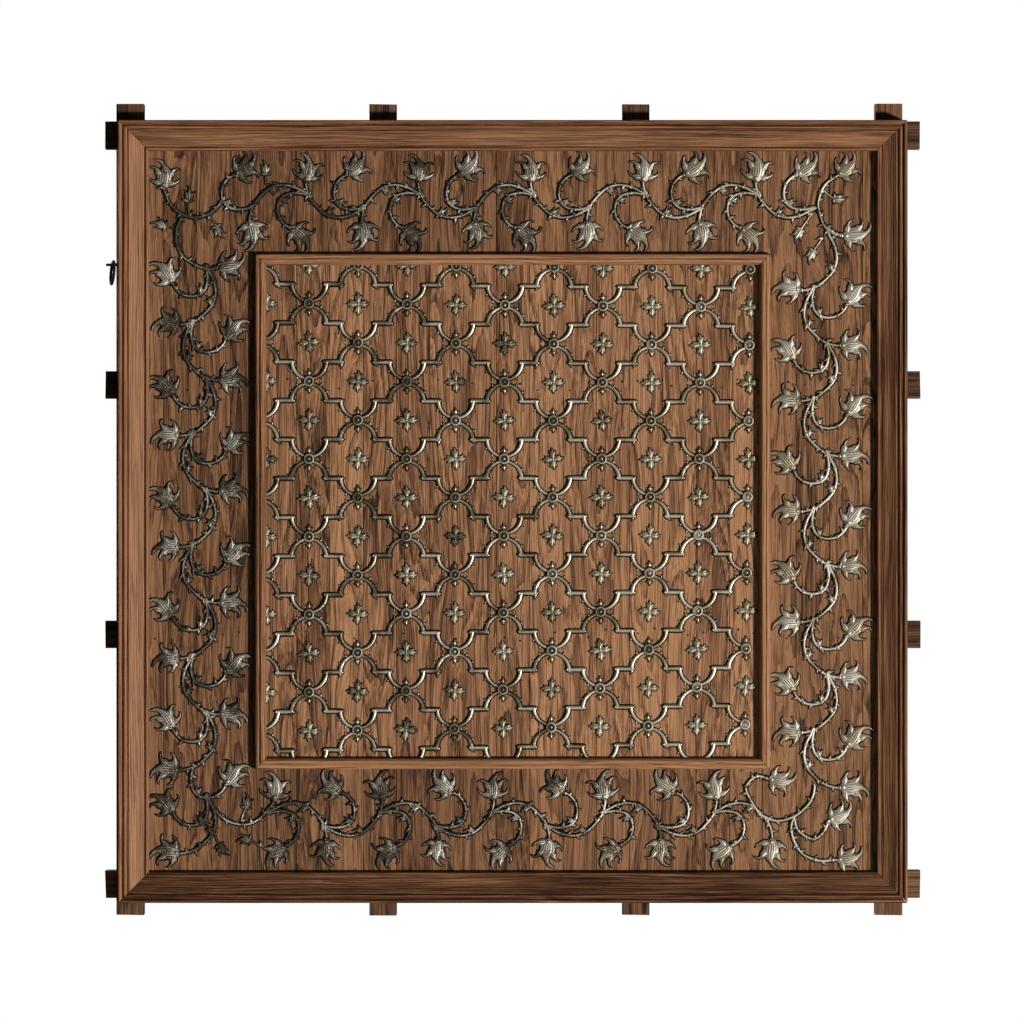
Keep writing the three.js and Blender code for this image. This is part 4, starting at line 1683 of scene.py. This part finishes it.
@dataclass
class VineBorder:
    """The running vine between the two frames."""

    place: Place
    foundry: Foundry
    shift: Point = (-5.5, 2.5)
    thorn_spacing: float = 15.0
    first_seed: int = 40
    first_thorn_seed: int = 3
    steps: int = 4
    main: tuple[Point, ...] = (
        (13, -6), (19, 8), (25, 19), (29.7, 34), (31, 49.5), (27, 66),
        (19.6, 78), (4.4, 92.7), (-10.5, 102.8), (-29.7, 108), (-38, 108),
    )
    curl: tuple[Point, ...] = (
        (12, -2), (15, 12), (15.6, 24.7), (11.4, 41), (1, 51.4), (-15, 55), (-32, 51.4), (-44.7, 41), (-51, 29),
    )
    main_aim: Point = (-1.0, -0.12)
    curl_aim: Point = (-0.6, -0.8)
    main_sprout: float = 0.55
    curl_sprout: float = 0.5
    sprout_size: float = 1.2
    bud_size: float = 1.15
    taper: float = 0.85
    # section relief: the top is worn brightest and the sides dark, with one side given less relief than the other,
    # painted shade down that side
    section: tuple[Corner, ...] = (
        (5.1, 0, 0.0), (3.9, 1.5, 0.0), (3.7, 2.6, 0.1), (2.8, 4.4, 0.4), (1.0, 5.6, 1.0),
        (-1.0, 5.6, 0.8), (-2.8, 4.4, 0.3), (-3.7, 2.6, 0.1), (-3.9, 1.5, 0.0), (-5.1, 0, 0.0),
    )

    def corners(self) -> tuple[Point, Point, Point, Point]:
        """The crossings of the vine's centre lines.

        Returns:
            The top left, the top right, the bottom left and the bottom right one.
        """
        x = (self.place.half_width - self.place.frame_width + self.place.inner_half) / 2
        y = (self.place.half_height - self.place.frame_width + self.place.inner_half) / 2
        left, right = -x + self.shift[0], x + self.shift[0]
        top, bottom = y + self.shift[1], -y + self.shift[1]
        return (left, top), (right, top), (left, bottom), (right, bottom)

    def runs(self) -> list[Run]:
        """The four straight runs.

        Returns:
            The runs, in the order in which their pieces are cast.
        """
        tl, tr, bl, br = self.corners()
        return [
            Run(Side.TOP, tr, tl, (0, -1), 15, 97, 11, last_main=False),
            Run(Side.LEFT, tl, bl, (1, 0), 126, 96, 10, last_main=False),
            Run(Side.BOTTOM, bl, br, (0, 1), 134, 200, 9),
            Run(Side.RIGHT, tr, br, (1, 0), 61, 168, 10, first_curl=False),
        ]

    def tendrils(self) -> dict[Side, list[Tendril]]:
        """The stems that turn the corners, and the buds beside them.

        Returns:
            Those of each side's piece.
        """
        tl, tr, bl, br = self.corners()
        bud = Tendril.bud
        return {
            Side.TOP: [
                Tendril(tl, ((42, 2), (37, -8), (18, -24), (-8, -31), (-35, -24), (-57, -3), (-68, 26)), (0.1, 1)),
                bud(tl, ((-19, -27), (-22, -14), (-22, 0)), (0.1, 1)),
                bud(tl, ((19, -28), (26, -38), (31, -46)), (0.5, -0.9)),
                bud(tl, ((127, 31), (126, 42), (126, 50)), (0, 1)),
                bud(tr, ((-16, -24), (-28, -40), (-36, -52)), (-0.6, -0.8)),
            ],
            Side.LEFT: [
                Tendril(
                    tl,
                    ((-34, -31), (-41, -46), (-44, -62), (-42, -84), (-27, -109), (11, -128), (36, -126)),
                    (0.97, 0.2),
                ),
                bud(tl, ((-41, -52), (-54, -50), (-63, -48)), (-1, 0.4)),
                bud(bl, ((28, -26), (33, -40), (36, -48)), (0.6, -0.9)),
            ],
            Side.BOTTOM: [
                Tendril(
                    bl, ((29, 19), (36, 11), (50, -1), (71, -9), (95, -9), (116, 3), (135, 24), (143, 36)), (0.15, 1)
                ),
                bud(bl, ((79, -4), (84, 12), (88, 20)), (0.3, 1)),
                bud(bl, ((116, -52), (104, -44), (98, -40)), (-1, 0.15)),
                Tendril(
                    br,
                    ((-112, 8), (-96, 0), (-79, -3), (-58, 2), (-40, 12), (-22, 30), (-14, 46), (-11, 64)),
                    end=None,
                ),
                Tendril(br, ((-114, 6), (-133, 36), (-142, 62), (-121, 82), (-98, 76)), (0.98, -0.1)),
                Tendril(br, ((-48, 8), (-56, -14), (-50, -42), (-33, -67), (-2, -79), (32, -77)), (0.98, 0.2)),
                Tendril(br, ((-50, 2), (-42, -22), (-14, -38), (6, -24), (16, -2)), (0.9, 0.42)),
            ],
            Side.RIGHT: [
                Tendril(tr, ((30, -65), (10, -50), (3, -38), (-2, -20), (-4, 0), (8, 31), (34, 50)), (0.8, 0.6)),
                Tendril(tr, ((12, -50), (30, -62), (44, -66)), (1, 0.05)),
                bud(tr, ((4, 22), (16, 12), (24, 6)), (0.9, -0.2)),
                bud(tr, ((4, -70), (-6, -84), (-12, -92)), (-0.5, -0.9)),
            ],
        }

    def build(self, finish: bpy.types.Material) -> None:
        """Casts each side's vine as one piece.

        Args:
            finish: the material.
        """
        section = self.foundry.section("stem_section", self.section)
        tendrils = self.tendrils()
        for index, run in enumerate(self.runs()):
            vine = Layout(random.Random(self.first_seed + index))
            for bend in range(run.bends):
                last = bend == run.bends - 1
                self._bend(self._joint(run, bend), bend > 0 or run.first_curl, not last or run.last_main, vine)
            if run.side is Side.LEFT:
                turning = self._joint(run, run.bends - 0.5)
                self._bend(Joint(turning.at, turning.growth, np.array((1.0, 0.0))), True, True, vine)
            for tendril in tendrils[run.side]:
                self._tendril(tendril, vine)
            name, seed = f"vine_{run.side.word}", self.first_thorn_seed + index
            piece = self.foundry.cast(f"{name}_metal", vine, finish, section, self.thorn_spacing, seed)
            finished(piece, "panel", "vine_metal", name)

    def _joint(self, run: Run, bend: float) -> Joint:
        """Where a bend leaves the centre line.

        Args:
            run: the run it is on.
            bend: its number from the run's start.

        Returns:
            The joint.
        """
        start, end = np.array(run.start, float), np.array(run.end, float)
        length = np.linalg.norm(end - start)
        growth = (end - start) / length
        pitch = (length - run.lead - run.tail) / (run.bends - 1)
        bulge = np.array(run.bulge, float) * (-1) ** int(bend)
        return Joint(start + growth * (run.lead + bend * pitch), growth, bulge)

    def _bend(self, joint: Joint, curl: bool, main: bool, vine: Layout) -> None:
        """Lays one bend's long stem and the curl inside it.

        Args:
            joint: where it leaves the centre line.
            curl: whether it has the curl.
            main: whether it has the long stem.
            vine: where the vine is gathered.
        """
        growth, bulge = joint.growth, joint.bulge
        hand = growth[0] * bulge[1] - growth[1] * bulge[0]
        long_stem = (self.main, self.main_aim, main, self.main_sprout)
        for route, aim, wanted, sprout in (long_stem, (self.curl, self.curl_aim, curl, self.curl_sprout)):
            if not wanted:
                continue
            line = through([tuple(joint.at + bulge * c + growth * g) for c, g in route], self.steps)
            heading = bulge * aim[0] + growth * aim[1]
            self._stem(line, heading, Shape.LEAF if hand > 0 else Shape.LEAF_BACK, 1.0, vine)
            self._sprout(line, sprout, hand, vine)

    def _tendril(self, tendril: Tendril, vine: Layout) -> None:
        """Lays a corner's own stem.

        Args:
            tendril: the stem.
            vine: where the vine is gathered.
        """
        corner = np.array(tendril.corner)
        line = through([tuple(corner + point) for point in tendril.line], self.steps)
        if tendril.end is None:
            vine.stems.append(Stem(line))
        else:
            self._stem(line, tendril.aim, tendril.end, tendril.girth, vine)

    def _stem(self, line: list[Point], heading: Point, end: Shape, girth: float, vine: Layout) -> None:
        """Lays a stem that ends in a leaf or a bud, with its collars.

        Args:
            line: the stem's points.
            heading: which way the leaf points.
            end: what it ends in.
            girth: the stem's thickness as a share of the usual.
            vine: where the vine is gathered.
        """
        vine.stems.append(Stem(line, girth, girth * self.taper))
        turn = math.atan2(heading[1], heading[0]) + vine.rng.uniform(-0.1, 0.1)
        size = self.bud_size if end is Shape.BUD else 1.0
        vine.seat(end, line[-1], turn, size * vine.rng.uniform(0.94, 1.04))
        if girth < 1:
            return
        for index in (len(line) // 4, len(line) // 2, 3 * len(line) // 4, len(line) - 2):
            ahead = np.array(line[index + 1]) - np.array(line[index])
            vine.seat(Shape.COLLAR, line[index], math.atan2(ahead[1], ahead[0]))

    def _sprout(self, line: list[Point], share: float, hand: float, vine: Layout) -> None:
        """Sets a small leaf on the inside of a bend.

        Args:
            line: the stem's points.
            share: how far along the stem it grows.
            hand: which side is the inside.
            vine: where the vine is gathered.
        """
        index = int(len(line) * share)
        ahead = np.array(line[index + 1]) - np.array(line[index])
        ahead /= np.linalg.norm(ahead)
        inward = np.array((ahead[1], -ahead[0])) * hand
        aim = inward * 0.75 - ahead * 0.65
        at = tuple(np.array(line[index]) + inward * 2)
        vine.seat(Shape.SPROUT, at, math.atan2(aim[1], aim[0]), self.sprout_size)


@dataclass
class Nails:
    """Nail heads in the boards, over the battens behind."""

    place: Place
    foundry: Foundry
    edge: float = 8.0
    shares: Point = (0.25, 0.75)
    seed: int = 11

    def build(self, finish: bpy.types.Material) -> None:
        """Sets the nails.

        Args:
            finish: the nails' material.
        """
        nails = Layout(random.Random(self.seed))
        limit_x = self.place.half_width - self.place.frame_width - self.edge
        limit_y = self.place.half_height - self.place.frame_width
        heights = [sum(span(name, "z")) / 2 - self.place.centre_z / MM for name in numbered("cross_batten_")]
        for name in numbered("board_"):
            left, right = span(name, "x")
            for y in (height for height in heights if abs(height) <= limit_y):
                for share in self.shares:
                    x = left + (right - left) * share + nails.rng.uniform(-3, 3)
                    if abs(x) < limit_x:
                        at = (x, y + nails.rng.uniform(-12, 12))
                        nails.seat(Shape.NAIL, at, grow=nails.rng.uniform(0.8, 1.1))
        finished(self.foundry.cast("board_nails", nails, finish), "panel", "iron")


@dataclass
class PullRing:
    """The iron ring on the left side, and the staple that it hangs from."""

    place: Place
    wire: float = 2.8
    staple_wire: float = 2.3
    play: float = 0.7
    ring_radius: float = 21.45
    ring_sides: int = 56
    wire_sides: int = 14
    lean: float = math.radians(5)
    twist: float = math.radians(12)
    bend_steps: int = 12
    unevenness: float = 0.03

    def build(self, finish: bpy.types.Material) -> None:
        """Makes the ring and the staple.

        Args:
            finish: the iron.
        """
        pivot = self._pivot()
        hang = self.ring_radius - self.wire - self.staple_wire - self.play
        turned_round = Matrix.Rotation(self.twist, 4, "Y") @ Matrix.Rotation(-self.lean, 4, "Z")
        stand = Matrix.Translation(pivot) @ turned_round @ Matrix.Translation((0, -hang, 0))
        circle = []
        for step in range(self.ring_sides):
            angle = 2 * math.pi * step / self.ring_sides
            circle.append(stand @ Vector((0, self.ring_radius * math.cos(angle), self.ring_radius * math.sin(angle))))
        self._piece("pull_ring_iron", circle, self.wire, "ring", "pull_ring", finish)
        (left, buried), (front, back) = span("ring_staple", "x"), span("ring_staple", "y")
        near, far = -front - self.staple_wire, -back + self.staple_wire
        bend, middle = (near - far) / 2, (near + far) / 2
        tip = left + self.staple_wire + bend
        line = [Vector((buried, pivot.y, near))]
        for step in range(self.bend_steps + 1):
            angle = math.pi / 2 + math.pi * step / self.bend_steps
            line.append(Vector((tip + bend * math.cos(angle), pivot.y, middle + bend * math.sin(angle))))
        line.append(Vector((buried, pivot.y, far)))
        self._piece("ring_staple_iron", line, self.staple_wire, "panel", "ring_staple", finish)

    def _pivot(self) -> Vector:
        """The point that the ring turns about.

        Returns:
            The point, face on and in millimetres.
        """
        joint = next(j for j in frame["record"]["behaviour"]["joints"] if j["name"] == "ring_swing")
        x, y, z = joint["pos_m"]
        return Vector((x / MM, (z - self.place.centre_z) / MM, -y / MM))

    def _piece(
        self, name: str, line: list[Vector], wire: float, body: str, node: str, finish: bpy.types.Material
    ) -> None:
        """Bends wire along a line, which closes on itself when it is the ring's.

        Args:
            name: the piece's name.
            line: the wire's points.
            wire: the wire's radius.
            body: the body it rides on.
            node: the solid it stands for.
            finish: the iron.
        """
        made = Solid()
        count = len(line)
        closed = body == "ring"
        flat = (line[1] - line[0]).cross(line[count // 3] - line[0]).normalized()
        for index, point in enumerate(line):
            before = line[index - 1] if closed or index else line[0]
            after = line[(index + 1) % count] if closed or index < count - 1 else line[-1]
            along = (after - before).normalized()
            out = along.cross(flat).normalized()
            worn = wire * (1 + self.unevenness * math.sin(index * 1.7))
            for side in range(self.wire_sides):
                angle = 2 * math.pi * side / self.wire_sides
                made.points.append(tuple(point + (out * math.cos(angle) + flat * math.sin(angle)) * worn))
        made.grid(count, self.wire_sides, capped=not closed)
        if closed:
            last = (count - 1) * self.wire_sides
            for side in range(self.wire_sides):
                beside = (side + 1) % self.wire_sides
                made.faces.append((last + side, last + beside, beside, side))
        mesh = made.mesh(name)
        mesh.transform(self.place.to_room)
        mesh.materials.append(finish)
        finished(new_object(name, turned_outwards(mesh)), body, "iron", node)


# Studio


@dataclass(frozen=True)
class Lamp:
    """A soft lamp: how far round it stands, how high, how far away, how wide and how strong."""

    name: str
    angle: float
    rise: float
    distance: float
    size: float
    power: float
    colour: Colour


@dataclass(frozen=True)
class Studio:
    """The pale floor, the lights and the camera."""

    place: Place
    lens: float = 200.0
    sensor: float = 36.0
    photo_pixels: float = 1024.0
    panel_pixels: float = 790.4
    off_centre: Point = (0.8, -0.5)
    floor_drop: float = 1.7
    floor_size: float = 5.0
    floor_colour: Colour = (0.8, 0.8, 0.79)
    floor_glow: Colour = (0.66, 0.66, 0.65)
    sky: float = 0.03
    lamps: tuple[Lamp, ...] = (
        Lamp("key", math.radians(39), -4.0, 16.0, 1.2, 2950.0, (1.0, 0.97, 0.93)),
        Lamp("fill", math.radians(10), -0.4, 6.0, 2.5, 13.275, (0.97, 0.98, 1.0)),
        Lamp("back", math.radians(205), 1.5, 8.0, 2.5, 420.0, (0.97, 0.98, 1.0)),
    )

    def build(self) -> None:
        """Sets everything up."""
        self._floor()
        self._world()
        for lamp in self.lamps:
            self._hang(lamp)
        self._camera()

    def _floor(self) -> None:
        """Lays the floor well below the panel, pale to the camera wherever the lamps miss it."""
        material, wiring, shader = new_material("floor_pale")
        seen = wiring.node("ShaderNodeLightPath").outputs["Is Camera Ray"]
        looks = {"Base Color": (*self.floor_colour, 1.0), "Roughness": 0.9, "Emission Color": (*self.floor_glow, 1.0)}
        wiring.fill(shader, looks | {"Emission Strength": seen})
        half = self.floor_size / 2
        square = [(-half, -half, 0.0), (half, -half, 0.0), (half, half, 0.0), (-half, half, 0.0)]
        mesh = Solid(points=square, faces=[(0, 1, 2, 3)]).mesh("floor")
        mesh.transform(Matrix.Translation((0, 0, self.place.centre_z - self.floor_drop)))
        mesh.materials.append(material)
        new_object("floor", mesh)

    def _world(self) -> None:
        """Lights the scene softly from all round, and shows white behind the panel."""
        world = bpy.data.worlds.new("studio")
        bpy.context.scene.world = world
        world.use_nodes = True
        wiring = Wiring(world.node_tree)
        seen = wiring.node("ShaderNodeLightPath").outputs["Is Camera Ray"]
        strength = wiring.ranged(seen, 0.0, 1.0, self.sky, 1.0)
        background = world.node_tree.nodes["Background"].inputs
        wiring.fill(background, {"Color": (1.0, 1.0, 1.0, 1.0), "Strength": strength})

    def _hang(self, lamp: Lamp) -> None:
        """Hangs a lamp so that it faces the panel.

        Args:
            lamp: the lamp.
        """
        light = bpy.data.lights.new(lamp.name, "AREA")
        light.energy, light.size, light.color = lamp.power, lamp.size, lamp.colour
        hung = new_object(lamp.name, light)
        centre = Vector((0, 0, self.place.centre_z))
        across, out = math.sin(lamp.angle) * lamp.distance, -math.cos(lamp.angle) * lamp.distance
        hung.location = centre + Vector((across, out, lamp.rise))
        hung.rotation_euler = (centre - hung.location).to_track_quat("-Z", "Y").to_euler()

    def _camera(self) -> None:
        """Stands the camera straight in front, where the frame fills the same share as in the photograph."""
        data = bpy.data.cameras.new("camera")
        data.lens, data.sensor_width = self.lens, self.sensor
        camera = new_object("camera", data)
        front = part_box("frame_top")[0].y
        pixel = 2 * self.place.half_width * MM / self.panel_pixels
        distance = pixel * self.photo_pixels * self.lens / self.sensor
        dx, dz = -self.off_centre[0] * pixel, self.off_centre[1] * pixel
        camera.location = (dx, front - distance, self.place.centre_z + dz)
        camera.rotation_euler = (math.pi / 2, 0, 0)
        bpy.context.scene.camera = camera


def main() -> None:
    """Builds the panel piece by piece, then the studio, and notes the sizes."""
    logging.basicConfig(level=logging.INFO, format="%(name)s: %(message)s")
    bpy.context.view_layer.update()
    place = Place.read()
    wood, patina = wood_figure(), patina_figure()
    border_figure(place)
    Battens(place).build(DARK_WOOD.material(wood))
    Boards(place).build(BOARD_WOOD.material(wood))
    outer, inner = outer_section(place), inner_section(place)
    outer_frame = MouldedFrame(place, "frame", outer, 4, place.half_width, place.half_height, 2716)
    outer_frame.build(FRAME_WOOD.material(wood))
    inner_frame = MouldedFrame(place, "inner_frame", inner, 2, place.inner_half, place.inner_half, 597)
    inner_frame.build(RAIL_WOOD.material(wood))
    foundry = Foundry(place)
    foundry.make_patterns()
    foundry.make_tree()
    iron = BLACK_IRON.material(patina)
    StrapLattice(place, foundry).build(STRAP_METAL.material(patina), BRASSY.material(patina))
    VineBorder(place, foundry).build(SILVERED.material(patina))
    Nails(place, foundry).build(iron)
    PullRing(place).build(iron)
    foundry.clear()
    Studio(place).build()
    bpy.context.scene.view_settings.view_transform = "Standard"
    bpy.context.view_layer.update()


if __name__ == "__main__":
    main()
